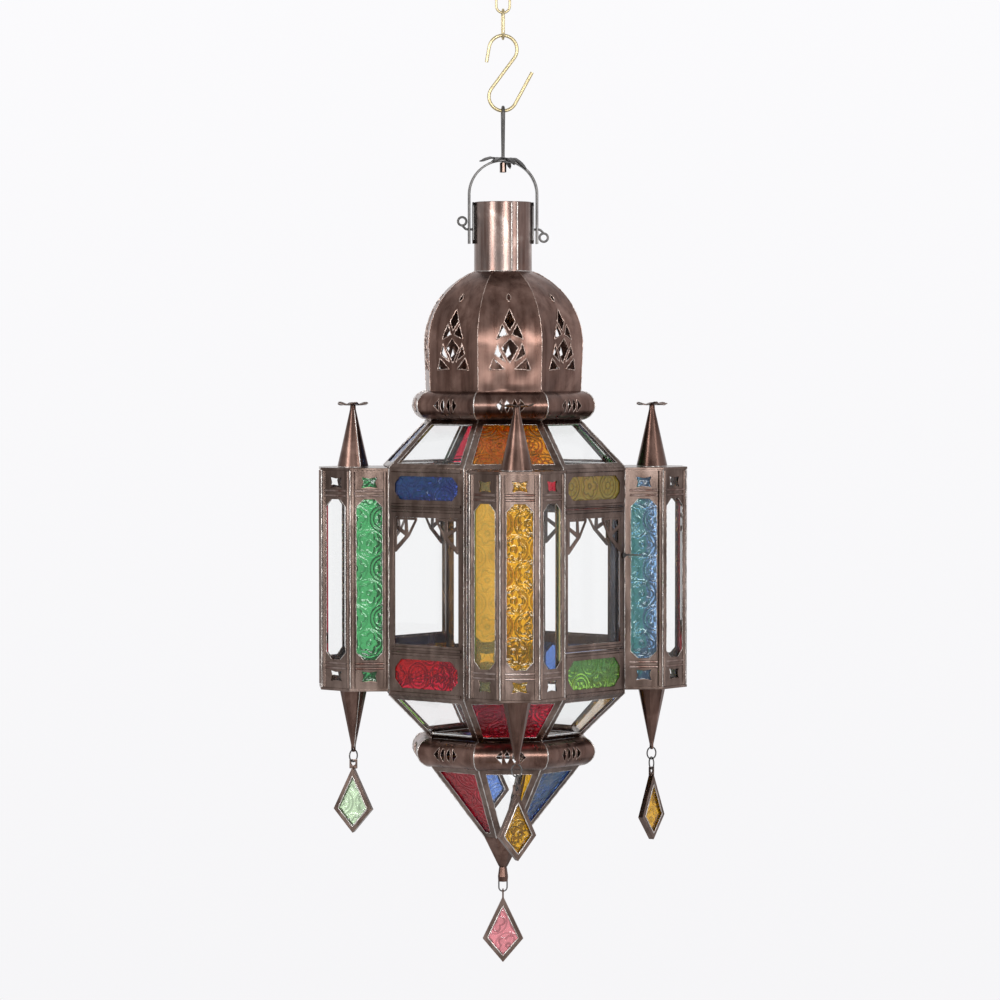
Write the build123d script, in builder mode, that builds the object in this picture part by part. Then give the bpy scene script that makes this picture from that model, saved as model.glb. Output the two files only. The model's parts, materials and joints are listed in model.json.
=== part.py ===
"""Hanging glass lantern: octagonal body, four glazed turrets, pierced dome and kite-shaped glass drops.

Millimetres, +Z up. The origin is the point inside the upper chain link where the lantern hangs.
The front looks towards -Y, and the right-front window is the door.
"""
import os
from math import asin, atan, cos, degrees, hypot, radians, sin, sqrt, tan

from build123d import *

os.makedirs("parts", exist_ok=True)

# Plan: an octagon whose faces alternate between turrets and windows
face_count = 8
half_face = 180 / face_count
front, right, back, left = -90, 0, 90, 180
turret_angles = [front, right, back, left]
door_angle = -45
fixed_window_angles = [45, 135, -135]
window_angles = [door_angle] + fixed_window_angles
strip_angles = [-90, -45, 0, 45, 90]
wall_apothem = 82.0
throat_apothem = 51.8
foot_apothem = 13.5
strip_width = 26.6

# Clearances
overrun = 6.0
seam_gap = 0.1
float_gap = 0.3
running_gap = 0.05
seat_gap = 0.05

# Chain links and S-hook
link_length = 22.0
link_width = 11.2
link_wire = 1.8
hook_wire = 2.4
hook_bend = 9.8
hook_span = 32.8
hook_short_tail = 10.8
hook_long_tail = 24.7
hook_short_end = 170
hook_long_end = -28.5
wire_sides = 6
bend_steps = 6

# Hang loop, sleeve, bail and pins
loop_wire = 2.2
loop_bend = 5.0
loop_length = 37.6
loop_throat = 5.0
sleeve_length = 9.0
sleeve_width = 4.4
sleeve_depth = 7.2
bail_width = 7.0
bail_sheet = 1.5
bail_half_span = 24.5
bail_rise = 48.7
bail_tail = 10.0
bail_steps = 12
pin_radius = 0.9
pin_eye = 2.9
pin_eye_offset = 5.6
rosette_reach = 17.0
rosette_disc = 5.0
rosette_sheet = 0.8
rosette_petals = 8
rosette_droop = 18
leaf_shares = [(0, -1), (0.66, -0.88), (1, 0), (0.66, 0.88), (0, 1)]

# Neck and dome
neck_radius = 20.2
neck_height = 48.4
neck_above_pivot = 19.0
neck_sheet = 1.0
lap_sheet = 0.5
lap_from, lap_sweep = -78, 12
lug_sheet = 1.2
lug_length = 29.0
sheet = 1.2
dome_radius = 54.9
dome_centre_back = 1.3
neck_seat = 0.2
dome_arc_height = sqrt(dome_radius**2 - (neck_radius - neck_seat + dome_centre_back) ** 2)
dome_skirt = 32.7
dome_bands = [0, 11, 22, 30.5, 40, 49, 58]
dome_height = dome_arc_height + dome_skirt
lattice_rise = 11.0
lattice_height = 42.0
lattice_half = 13.2
slit_rise = 8.0
slit_height = 6.0
slit_half = 1.5

# Moulded rings
ring_radius = 9.8
ring_core = 52.0
ring_flange = 3.0
pierce_half = 7.8
pierce_height = 6.4
pierce_gap_share = 0.16
lens_share = 0.42
lens_shares = [(0.5, 0.5), (0, 0.17), (0, -0.17), (0.5, -0.5), (1, -0.17), (1, 0.17)]
ring_turns = [-90, -64, -43, -21.5, 21.5, 43, 64, 90]

# Glazed storeys
roof_height = 32.9
wall_height = 156.8
frieze_height = 27.3
dado_height = 31.0
slope_height = 31.5
pyramid_height = 51.8
frame_depth = 4.0
front_sheet = 0.8
bar = 4.2
rebate = 3.2
pane_gap = 0.15
pane_thickness = 2.4
panel_rail = 5.6
slot_cut_share = 0.30
window_stile = 5.0
window_head = 6.5
window_sill = 4.6
spandrel_reach = 20.5
spandrel_drop = 24.0
door_gap = 0.6

# Turrets
turret_inset = 2.1
turret_foot_inset = 3.9
turret_height = wall_height - turret_inset - turret_foot_inset
turret_plate = 1.8
turret_lip = 0.8
turret_clear = 0.2
strip_end = 20.0
strip_chamfer = 5.0
strip_window = 10.4
strip_window_height = 7.4
star_centre = 8.4
star_shares = [(-1, -1), (0, -0.74), (1, -1), (0.78, 0), (1, 1), (0, 0.74), (-1, 1), (-0.78, 0)]
cone_radius_from_axis = 105.0
spire_radius = 11.0
spire_tip = 2.1
spire_height = 40.0
spire_neck = 3.0
flower_reach = 11.5
flower_disc = 3.6
flower_petals = 6
flower_lift = 20
pendant_radius = 10.0
pendant_tip = 1.5
pendant_height = 41.0
cone_sides = 12

# Corner posts
post_depth = 3.7
post_clear = 0.15

# Bottom cap and collar
cap_height = 21.7
cap_tip = 2.9
collar_top = 2.7
collar_radius = 3.4
collar_girth = 3.7
collar_height = 10.5
hoop_wire = 1.0
hoop_drop = 7.5

# Rings and kite drops
ring_wire = 1.0
ring_bend = 4.2
tab_width = 3.6
tab_sheet = 1.2
tab_hole = 1.0
tab_drop = 2.2
ring_play = 0.2
eye_width = 5.6
eye_height = 6.4
eye_hole = 1.6
eye_up_share = 0.40
kite_top = -2.4
kite_height = 46.5
kite_width = 28.5
kite_corner_share = 0.64
kite_depth = 4.0
kite_bar = 3.0
kite_rebate = 1.6

# Candle holder
cup_bore = 19.75
cup_wall = 0.9
cup_height = 12.0
cup_floor = 1.0
bridge_width = 24.0

# Door hinge and latch
knuckle_radius = 1.5
knuckle_height = 9.0
knuckle_inset = 13.0
pintle_radius = 0.8
latch_wire = 1.2
latch_boss = 1.8
latch_tail = 9.0
latch_height_share = 0.66

# Levels, worked out from the top down
upper_link_centre = link_wire - link_length / 2
upper_link_low = upper_link_centre - (link_length - link_wire) / 2
lower_link_centre = upper_link_low + link_wire + float_gap - (link_length - link_wire) / 2
lower_link_low = lower_link_centre - (link_length - link_wire) / 2
hook_top = lower_link_low + (link_wire + hook_wire) / 2 + float_gap
hook_upper_centre = hook_top - hook_bend
hook_lower_centre = hook_upper_centre - hook_span
hook_low = hook_lower_centre - hook_bend
loop_top = hook_low + (hook_wire + loop_wire) / 2 + float_gap
bail_top = loop_top + loop_wire / 2 - loop_length
pivot_z = bail_top - bail_rise
neck_top = pivot_z + neck_above_pivot
dome_top = neck_top - neck_height
dome_foot = dome_top - dome_height
roof_top = dome_foot - 2 * ring_radius
wall_top = roof_top - roof_height
wall_foot = wall_top - wall_height
turret_top = wall_top - turret_inset
turret_foot = turret_top - turret_height
slope_foot = wall_foot - slope_height
pyramid_top = slope_foot - 2 * ring_radius
cap_top = pyramid_top - pyramid_height
collar_z = cap_top - cap_height
frieze_foot = wall_top - frieze_height
dado_top = wall_foot + dado_height

half_tan = tan(radians(half_face))
turret_apothem = strip_width / 2 / half_tan
turret_centre = wall_apothem + strip_width / 2


def finish(builder, name):
    """Label a finished piece and write it out."""
    builder.part.label = name
    export_step(builder.part, f"parts/{name}.step")


def upright(facing, origin=(0, 0, 0)):
    """Vertical plane whose normal points along the azimuth, with local y up."""
    turn = radians(facing)
    return Plane(origin, x_dir=(-sin(turn), cos(turn), 0), z_dir=(cos(turn), sin(turn), 0))


def turned(angle):
    """Turn about the lantern's axis."""
    return Location((0, 0, 0), (0, 0, angle))


def out_at(angle, radius, z=0):
    """Place on the given azimuth and radius, turned to face outwards."""
    return turned(angle) * Location((radius, 0, z))


def strip_place(turret, strip):
    """Place of one turret face, from its build position on the lantern's axis."""
    return out_at(turret, turret_centre) * turned(strip)


def regular(apothem):
    """Radius to the corners of the octagon with the given apothem."""
    return apothem / cos(radians(half_face))


def face_plane(foot, head):
    """Plane on the outer surface of a face that looks along +X, from (radius, z) at its foot to its head."""
    rise = Vector(head[0] - foot[0], 0, head[1] - foot[1])
    tangent = Vector(0, 1, 0)
    return Plane(Vector(foot[0], 0, foot[1]), x_dir=tangent, z_dir=tangent.cross(rise))


def mitre_planes(gap):
    """The two upright planes through the axis that bound the face looking along +X, drawn in by the gap."""
    turn = radians(half_face)
    normals = [Vector(-sin(turn), cos(turn), 0), Vector(-sin(turn), -cos(turn), 0)]
    return [Plane(normal * -gap, z_dir=normal) for normal in normals]


def inset_face(foot_width, head_width, length, inset):
    """Corners of a face drawn in by the inset on every side."""
    lean = (head_width - foot_width) / 2 / length
    drawn = inset * sqrt(1 + lean**2)
    low = foot_width / 2 + lean * inset - drawn
    high = head_width / 2 - lean * inset - drawn
    return [(-low, inset), (low, inset), (high, length - inset), (-high, length - inset)]


def wide_slot(width, height, cut, centre_y):
    """Corners of an opening with its four corners cut off."""
    x, y = width / 2, height / 2
    corners = [(-x, cut - y), (cut - x, -y), (x - cut, -y), (x, cut - y)]
    corners += [(x, y - cut), (x - cut, y), (cut - x, y), (-x, y - cut)]
    return [(px, centre_y + py) for px, py in corners]


def glazed_face(foot, head, openings=None, gap=seam_gap, low=None, high=None):
    """Folded frame tray and the pane behind it, for a face that looks along +X.

    The tray's sides are mitred, and low and high trim it level where it meets the next storey.
    """
    length = hypot(head[0] - foot[0], head[1] - foot[1])
    widths = [2 * spot[0] * half_tan for spot in (foot, head)]
    plane = face_plane(foot, head)
    with BuildPart() as tray:
        with BuildSketch(plane):
            Polygon(*inset_face(*widths, length, 0), align=None)
            for corners in openings or [inset_face(*widths, length, bar)]:
                Polygon(*corners, align=None, mode=Mode.SUBTRACT)
        extrude(amount=-frame_depth)
        with BuildSketch(plane.offset(-front_sheet)):
            Polygon(*inset_face(*widths, length, rebate), align=None)
        extrude(amount=-frame_depth, mode=Mode.SUBTRACT)
        for mitre in mitre_planes(gap):
            split(bisect_by=mitre, keep=Keep.BOTTOM)
        if low is not None:
            split(bisect_by=Plane.XY.offset(low), keep=Keep.TOP)
        if high is not None:
            split(bisect_by=Plane.XY.offset(high), keep=Keep.BOTTOM)
    with BuildPart() as pane:
        with BuildSketch(plane.offset(-front_sheet - seat_gap)):
            Polygon(*inset_face(*widths, length, rebate + pane_gap), align=None)
        extrude(amount=-pane_thickness)
    return tray.part, pane.part


def bend_points(centre, radius, start, sweep_angle, steps=bend_steps):
    """Ends of the short straight runs that make up a bend in a wire or strap."""
    turns = [radians(start + sweep_angle * step / steps) for step in range(steps + 1)]
    return [(centre[0] + radius * cos(turn), centre[1] + radius * sin(turn)) for turn in turns]


def wire_along(plane, points, wire):
    """Open wire along the points, on the given upright plane."""
    with BuildPart() as rod:
        with BuildLine(plane) as run:
            Polyline(*points)
        path = Wire(run.edges())
        with BuildSketch(Plane(path @ 0, x_dir=plane.z_dir, z_dir=path % 0)):
            RegularPolygon(wire / 2, wire_sides)
        sweep(path=path, transition=Transition.RIGHT)
    return rod.part


def wire_link(plane, bend, half_run, wire):
    """Closed wire link: two half-round bends joined by straight runs, on the given upright plane."""
    upper = bend_points((0, half_run), bend, 0, 180)
    lower = bend_points((0, -half_run), bend, 180, 180)
    corners = upper + lower if half_run else upper[:-1] + lower[:-1]
    middle = ((corners[0][0] + corners[-1][0]) / 2, (corners[0][1] + corners[-1][1]) / 2)
    with BuildPart() as link:
        with BuildLine(plane) as run:
            Polyline(middle, *corners, close=True)
        path = Wire(run.edges())
        start = plane.from_local_coords(Vector(*middle))
        ahead = plane.from_local_coords(Vector(*corners[0])) - start
        with BuildSketch(Plane(start, x_dir=plane.z_dir, z_dir=ahead)):
            RegularPolygon(wire / 2, wire_sides)
        sweep(path=path, transition=Transition.RIGHT)
    return link.part


def petal_ring(reach, disc, thickness, petals, tilt, hole):
    """Sheet rosette at the origin: a disc with leaf-shaped petals that tilt up or down from its rim."""
    half_width = disc * sin(radians(180 / petals))
    root = disc * cos(radians(180 / petals)) - thickness
    length = reach - root
    slope = Vector(-sin(radians(tilt)), 0, cos(radians(tilt)))
    root_lift = max(0, -thickness * tan(radians(tilt)))
    with BuildPart() as petal:
        with BuildSketch(Plane((root, 0, root_lift), x_dir=Vector(slope.Z, 0, -slope.X), z_dir=slope)):
            Polygon(*[(length * x, half_width * y) for x, y in leaf_shares], align=None)
        extrude(amount=thickness)
    with BuildPart() as rosette:
        with BuildSketch():
            RegularPolygon(disc, petals, rotation=180 / petals)
            RegularPolygon(hole, 2 * petals, major_radius=False, mode=Mode.SUBTRACT)
        extrude(amount=thickness)
        with PolarLocations(0, petals):
            add(petal.part)
    return rosette.part


def tapered(foot_radius, tip_radius, height, sides):
    """Many-sided cone standing on the ground plane."""
    draw_in = (foot_radius - tip_radius) * cos(radians(180 / sides))
    with BuildPart() as cone:
        with BuildSketch():
            RegularPolygon(foot_radius, sides, rotation=180 / sides)
        extrude(amount=height, taper=degrees(atan(draw_in / height)))
    return cone.part


def rolled_cone(foot_radius, tip_radius, height):
    """Hollow sheet cone with a solid tip, standing on the ground plane."""
    with BuildPart() as cone:
        add(tapered(foot_radius, tip_radius, height, cone_sides))
        hollow = tapered(foot_radius - sheet, tip_radius / 3, height - 2 * tip_radius, cone_sides)
        add(hollow, mode=Mode.SUBTRACT)
    return cone.part


# Chain links: the upper one faces the front, the lower one hangs through it edge-on
link_bend = (link_width - link_wire) / 2
link_run = (link_length - link_width) / 2
links = [("chain_link_upper", front, upper_link_centre), ("chain_link_lower", right, lower_link_centre)]
for name, facing, centre in links:
    with BuildPart() as link:
        add(wire_link(upright(facing, (0, 0, centre)), link_bend, link_run, link_wire))
    finish(link, name)

# S-hook: two bends joined by the straight line that touches both on opposite sides
cross_angle = degrees(asin(2 * hook_bend / hook_span))
upper_bend = bend_points((0, hook_upper_centre), hook_bend, hook_short_end, -hook_short_end - cross_angle)
lower_bend = bend_points((0, hook_lower_centre), hook_bend, 180 - cross_angle,
                         180 + cross_angle + hook_long_end)


def hook_end(start, length, heading):
    """End of a straight tail that leaves a bend along the heading."""
    return start[0] + length * cos(radians(heading)), start[1] + length * sin(radians(heading))


short_tip = hook_end(upper_bend[0], hook_short_tail, hook_short_end + 90)
long_tip = hook_end(lower_bend[-1], hook_long_tail, hook_long_end + 90)
with BuildPart() as s_hook:
    add(wire_along(upright(front), [short_tip, *upper_bend, *lower_bend, long_tip], hook_wire))
finish(s_hook, "s_hook")

# Hang loop: a hairpin whose legs run down through the rosette and the bail
leg = loop_wire / 2
eye_z = loop_top - loop_bend
loop_half = [(leg, bail_top - sleeve_length), (leg, bail_top + loop_throat)]
loop_eye = bend_points((0, eye_z), loop_bend, 0, 180)
other_half = [(-x, y) for x, y in reversed(loop_half)]
with BuildPart() as hang_loop:
    add(wire_along(upright(right), loop_half + loop_eye + other_half, loop_wire))
finish(hang_loop, "hang_loop")

# Sleeve clenched over the loop's ends, under the bail
bail_underside = bail_top - bail_sheet
with BuildPart() as loop_sleeve:
    with BuildSketch(Plane.XY.offset(bail_underside - 2 * float_gap)):
        Polygon(*wide_slot(sleeve_width, sleeve_depth, sleeve_width / 3, 0), align=None)
        Rectangle(loop_wire + 2 * running_gap, 2 * loop_wire + 2 * running_gap, mode=Mode.SUBTRACT)
    extrude(amount=bail_sheet + 2 * float_gap - sleeve_length)
finish(loop_sleeve, "loop_sleeve")

# Bail: a flat strap arched over the neck, with a hole in its crown and two pin holes
bail_spring = bail_top - bail_half_span
bail_foot = pivot_z - bail_tail
bail_outline = []
for half, way in [(bail_half_span, 1), (bail_half_span - bail_sheet, -1)]:
    arch = bend_points((0, bail_spring), half, 180, -180, bail_steps)
    bail_outline += [(-half, bail_foot), *arch, (half, bail_foot)][::way]
with BuildPart() as bail_strap:
    with BuildSketch(Plane.XZ.offset(-bail_width / 2)):
        Polygon(*bail_outline, align=None)
    extrude(amount=bail_width)
    with BuildSketch(Plane.XY.offset(bail_spring)):
        RegularPolygon(loop_wire + float_gap, face_count, major_radius=False)
    extrude(amount=bail_half_span + overrun, mode=Mode.SUBTRACT)
    with BuildSketch(Plane.YZ.offset(-bail_half_span - overrun)):
        with Locations((0, pivot_z)):
            Circle(pin_radius + running_gap)
    extrude(amount=2 * (bail_half_span + overrun), mode=Mode.SUBTRACT)
finish(bail_strap, "bail_strap")

with BuildPart() as bail_rosette:
    with Locations((0, 0, bail_top)):
        add(petal_ring(rosette_reach, rosette_disc, rosette_sheet, rosette_petals, -rosette_droop,
                       loop_wire + float_gap))
finish(bail_rosette, "bail_rosette")

# Ring-ended pins: the left one's eye stands up, the right one's hangs down
pin_inner = neck_radius - 2 * neck_sheet
pin_outer = bail_half_span + pin_radius + float_gap
eye_x = pin_outer + pin_eye
with BuildPart() as bail_pins:
    for side, lift in [(-1, pin_eye_offset), (1, -pin_eye_offset)]:
        with BuildSketch(Plane.YZ.offset(side * pin_inner)):
            with Locations((0, pivot_z)):
                Circle(pin_radius)
        extrude(amount=side * (pin_outer - pin_inner))
        bend_to = pivot_z + lift * (1 - pin_eye / pin_eye_offset)
        with BuildLine(upright(front)) as shank:
            Line((side * (pin_outer - pin_radius / 3), pivot_z), (side * eye_x, bend_to))
        with BuildSketch(Plane(shank.line @ 0, z_dir=shank.line % 0)):
            RegularPolygon(pin_radius, wire_sides)
        sweep(path=shank.line)
        eye_plane = upright(front, (side * eye_x, 0, pivot_z + lift))
        add(wire_link(eye_plane, pin_eye, 0, 2 * pin_radius))
finish(bail_pins, "bail_pins")

# Neck: a rolled tube with a lapped seam, open at the top, with holes for the pins
with BuildPart() as neck_tube:
    with BuildSketch(Plane.XY.offset(dome_top)):
        Circle(neck_radius)
        with BuildLine():
            lap = CenterArc((0, 0), neck_radius + lap_sheet, lap_from, lap_sweep)
            Line(lap @ 1, (0, 0))
            Line((0, 0), lap @ 0)
        make_face()
        Circle(neck_radius - neck_sheet, mode=Mode.SUBTRACT)
    extrude(amount=neck_height)
    with BuildSketch(Plane.YZ.offset(-neck_radius - overrun)):
        with Locations((0, pivot_z)):
            RegularPolygon(pin_radius + running_gap, face_count, major_radius=False)
    extrude(amount=2 * (neck_radius + overrun), mode=Mode.SUBTRACT)
finish(neck_tube, "neck_tube")

with BuildPart() as neck_lugs:
    for side in (-1, 1):
        with BuildSketch(Plane.YZ.offset(side * (neck_radius + seat_gap))):
            Polygon(*wide_slot(bail_width, lug_length, bail_width / 3, pivot_z - bail_tail + lug_length / 2),
                    align=None)
            with Locations((0, pivot_z)):
                RegularPolygon(pin_radius + running_gap, face_count, major_radius=False, mode=Mode.SUBTRACT)
        extrude(amount=side * lug_sheet)
finish(neck_lugs, "neck_lugs")

# Dome: eight singly curved gores, each with a lens slit over a pierced lattice
dome_centre = (-dome_centre_back, dome_top - dome_arc_height)
top_turn = degrees(asin(dome_arc_height / dome_radius))
skirt_x = throat_apothem + (sheet - seam_gap) / 2
lattice_foot = dome_foot + lattice_rise
slit_z = lattice_foot + lattice_height + slit_rise
lattice_shares = [
    [(0, 1), (-0.30, 0.80), (0, 0.64), (0.30, 0.80)],
    [(-0.40, 0.72), (-0.62, 0.52), (-0.12, 0.60)],
    [(0.40, 0.72), (0.12, 0.60), (0.62, 0.52)],
    [(0, 0.51), (-0.42, 0.38), (0, 0.14), (0.42, 0.38)],
    [(-0.58, 0.42), (-0.70, 0.27), (-0.24, 0.16), (-0.50, 0.36)],
    [(0.58, 0.42), (0.50, 0.36), (0.24, 0.16), (0.70, 0.27)],
    [(-0.76, 0.20), (-1, 0), (-0.32, 0)],
    [(0.76, 0.20), (0.32, 0), (1, 0)],
]
slit_shares = [(0, 0), (1, 0.5), (0, 1), (-1, 0.5)]


def on_dome(turn, radius):
    """Point of the dome's section at the given turn above its springing."""
    return dome_centre[0] + radius * cos(radians(turn)), dome_centre[1] + radius * sin(radians(turn))


with BuildPart() as gore:
    with BuildSketch(Plane.XZ):
        with BuildLine():
            ends = []
            for x, radius in [(skirt_x, dome_radius), (skirt_x - sheet, dome_radius - sheet)]:
                bands = Polyline((x, dome_foot), *[on_dome(turn, radius) for turn in [*dome_bands, top_turn]])
                ends.append((bands @ 0, bands @ 1))
            for first, second in zip(*ends):
                Line(first, second)
        make_face()
    extrude(amount=dome_radius / 2, both=True)
    for mitre in mitre_planes(seam_gap):
        split(bisect_by=mitre, keep=Keep.BOTTOM)
    with BuildSketch(upright(right)):
        for corners in lattice_shares:
            Polygon(*[(lattice_half * x, lattice_foot + lattice_height * y) for x, y in corners], align=None)
        Polygon(*[(slit_half * x, slit_z + slit_height * y) for x, y in slit_shares], align=None)
    extrude(amount=dome_radius + overrun, mode=Mode.SUBTRACT)
with BuildPart() as dome_gores:
    with PolarLocations(0, face_count):
        add(gore.part)
finish(dome_gores, "dome_gores")


# Moulded rings: half-round pierced segments with flanges that seat the storeys above and below
def ring_segment(mid_z):
    """One mitred segment, looking along +X, of the ring whose middle is at the given height."""
    tip, step = pierce_half, pierce_gap_share * pierce_half
    lens = lens_share * pierce_half
    section = []
    for radius, turns in [(ring_radius, ring_turns), (ring_radius - sheet, ring_turns[::-1])]:
        swell = [(ring_core + radius * cos(radians(turn)), mid_z + radius * sin(radians(turn)))
                 for turn in turns]
        flange_x = ring_core - ring_flange
        section += [(flange_x, swell[0][1]), *swell, (flange_x, swell[-1][1])]
    with BuildPart() as segment:
        with BuildSketch(Plane.XZ):
            Polygon(*section, align=None)
        extrude(amount=ring_core, both=True)
        for mitre in mitre_planes(seam_gap):
            split(bisect_by=mitre, keep=Keep.BOTTOM)
        with BuildSketch(upright(right, (0, 0, mid_z))):
            for side in (-1, 1):
                Polygon((side * tip, 0), (side * (lens + step), pierce_height / 2),
                        (side * (lens + step), -pierce_height / 2), align=None)
                lens_width = lens - step / 2
                lens_corners = [(step / 2 + lens_width * x, pierce_height * y) for x, y in lens_shares]
                Polygon(*[(side * x, y) for x, y in lens_corners], align=None)
        extrude(amount=ring_core + ring_radius + overrun, mode=Mode.SUBTRACT)
    return segment.part


for name, mid_z in [("upper_ring", dome_foot - ring_radius), ("lower_ring", slope_foot - ring_radius)]:
    with BuildPart() as moulded_ring:
        with PolarLocations(0, face_count):
            add(ring_segment(mid_z))
    finish(moulded_ring, name)

# Roof, lower slope and pyramid: eight mitred trays each
eave, throat = (wall_apothem, wall_top), (throat_apothem, roof_top)
skirt, waist = (wall_apothem, wall_foot), (throat_apothem, slope_foot)
shoulder, ankle = (throat_apothem, pyramid_top), (foot_apothem, cap_top)
roof_tray, roof_pane = glazed_face(eave, throat, low=wall_top)
slope_tray, slope_pane = glazed_face(waist, skirt, high=wall_foot)
pyramid_tray, pyramid_pane = glazed_face(ankle, shoulder, high=pyramid_top)
storey_trays = [("roof_frames", roof_tray), ("slope_frames", slope_tray), ("pyramid_frames", pyramid_tray)]
for name, tray in storey_trays:
    with BuildPart() as storey_frames:
        with PolarLocations(0, face_count):
            add(tray)
    finish(storey_frames, name)

# Corner posts between the turrets and the window walls
post_out = wall_apothem - post_clear
post_in = post_out - post_depth
turret_inner = turret_apothem - frame_depth
with BuildPart() as corner_posts:
    with BuildSketch(Plane.XY.offset(wall_foot)):
        for turret in turret_angles:
            with Locations(turned(turret)):
                for side in (-1, 1):
                    Polygon((post_out, side * (post_out * half_tan - 2 * post_clear)),
                            (post_in, side * (post_in * half_tan - 2 * post_clear)),
                            (post_in, side * turret_inner), (post_out, side * turret_inner), align=None)
    extrude(amount=wall_height)
finish(corner_posts, "corner_posts")

# Window walls: frieze and dado trays with cut-cornered openings
wall_width = 2 * wall_apothem * half_tan
slot_width = wall_width - 2 * panel_rail
panel_panes = {}
for name, foot, head in [("frieze_frames", frieze_foot, wall_top), ("dado_frames", wall_foot, dado_top)]:
    slot_height = head - foot - 2 * panel_rail
    slot = wide_slot(slot_width, slot_height, slot_cut_share * slot_height, (head - foot) / 2)
    tray, panel_panes[name] = glazed_face((wall_apothem, foot), (wall_apothem, head), [slot])
    with BuildPart() as wall_frames:
        with Locations(*[turned(angle) for angle in window_angles]):
            add(tray)
    finish(wall_frames, name)

# Windows: three fixed, and the door, which stands clear of its surround
spandrel_shares = [(0, 0), (1, 0), (1, 0.07), (0.66, 0.54), (0.07, 1), (0, 1)]
spandrel_hole_shares = [
    [(0.57, 0.07), (0.90, 0.07), (0.61, 0.45)],
    [(0.10, 0.07), (0.46, 0.07), (0.46, 0.38), (0.10, 0.22)],
    [(0.10, 0.34), (0.47, 0.53), (0.10, 0.80)],
]


def window(foot, head, gap):
    """Tray, pane and pair of fretwork spandrels of a window that looks along +X."""
    length = head - foot
    side = wall_width / 2 - window_stile
    lintel = length - window_head
    inner, under = side - seat_gap, lintel - seat_gap
    opening = [(-side, window_sill), (side, window_sill), (side, lintel), (-side, lintel)]
    tray, pane = glazed_face((wall_apothem, foot), (wall_apothem, head), [opening], gap)
    with BuildPart() as spandrels:
        with BuildSketch(face_plane((wall_apothem, foot), (wall_apothem, head))):
            for hand in (-1, 1):
                for level, shares in enumerate([spandrel_shares, *spandrel_hole_shares]):
                    corners = [(hand * (inner - spandrel_reach * x), under - spandrel_drop * y)
                               for x, y in shares]
                    Polygon(*corners, align=None, mode=Mode.SUBTRACT if level else Mode.ADD)
        extrude(amount=-front_sheet)
    return tray, pane, spandrels.part


fixed_pieces = window(dado_top, frieze_foot, seam_gap)
for name, piece in zip(("window_frames", "window_panes", "window_spandrels"), fixed_pieces):
    with BuildPart() as windows:
        with Locations(*[turned(angle) for angle in fixed_window_angles]):
            add(piece)
    finish(windows, name)

# Door: its frame takes the latch's rivet, and its knuckles turn on the pintles
door_foot = dado_top + door_gap
door_head = frieze_foot - door_gap
door_half = wall_width / 2 - door_gap / cos(radians(half_face))
door_tray, door_glass, door_fret = window(door_foot, door_head, door_gap)
latch_z = door_foot + latch_height_share * (door_head - door_foot)
latch_y = door_half - window_stile / 3
rivet_radius = latch_wire / 2
rivet_length = frame_depth / 3
with BuildPart() as door_frame_flat:
    add(door_tray)
    with BuildSketch(upright(right, (wall_apothem, latch_y, latch_z))):
        Circle(rivet_radius + running_gap)
    extrude(amount=-rivet_length - float_gap, mode=Mode.SUBTRACT)
hinge_x = wall_apothem + knuckle_radius
hinge_y = door_half + float_gap
knuckle_feet = [door_foot + knuckle_inset, door_head - knuckle_inset - knuckle_height]
with BuildPart() as knuckles_flat:
    for foot in knuckle_feet:
        with BuildSketch(Plane.XY.offset(foot)):
            with Locations((hinge_x, -hinge_y)):
                RegularPolygon(knuckle_radius, cone_sides)
                Circle(pintle_radius + running_gap, mode=Mode.SUBTRACT)
        extrude(amount=knuckle_height)
door_pieces = {
    "door_frame": door_frame_flat.part,
    "door_pane": door_glass,
    "door_spandrels": door_fret,
    "door_knuckles": knuckles_flat.part,
}
for name, piece in door_pieces.items():
    with BuildPart() as door_piece:
        with Locations(turned(door_angle)):
            add(piece)
    finish(door_piece, name)

# Latch: a wire turning on the door's stile, its tail lying along the side of the right turret
eighth = radians(2 * half_face)
latch_x = wall_apothem + float_gap + latch_wire / 2
latch_bend = latch_x - (turret_apothem + latch_wire / 2 + 2 * float_gap) / cos(eighth)
with BuildPart() as latch_flat:
    with BuildSketch(upright(right, (wall_apothem + float_gap, latch_y, latch_z))):
        RegularPolygon(latch_boss, face_count)
    extrude(amount=latch_wire)
    with BuildSketch(upright(right, (wall_apothem + float_gap, latch_y, latch_z))):
        Circle(rivet_radius)
    extrude(amount=-rivet_length)
    with BuildLine(Plane.XY.offset(latch_z)) as latch_run:
        reach = Line((latch_x, latch_y), (latch_x, latch_bend))
        PolarLine(reach @ 1, latch_tail, degrees(eighth))
    latch_path = Wire(latch_run.edges())
    with BuildSketch(Plane(latch_path @ 0, z_dir=latch_path % 0)):
        RegularPolygon(latch_wire / 2, wire_sides)
    sweep(path=latch_path, transition=Transition.RIGHT)
with BuildPart() as door_latch:
    with Locations(turned(door_angle)):
        add(latch_flat.part)
finish(door_latch, "door_latch")

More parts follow.
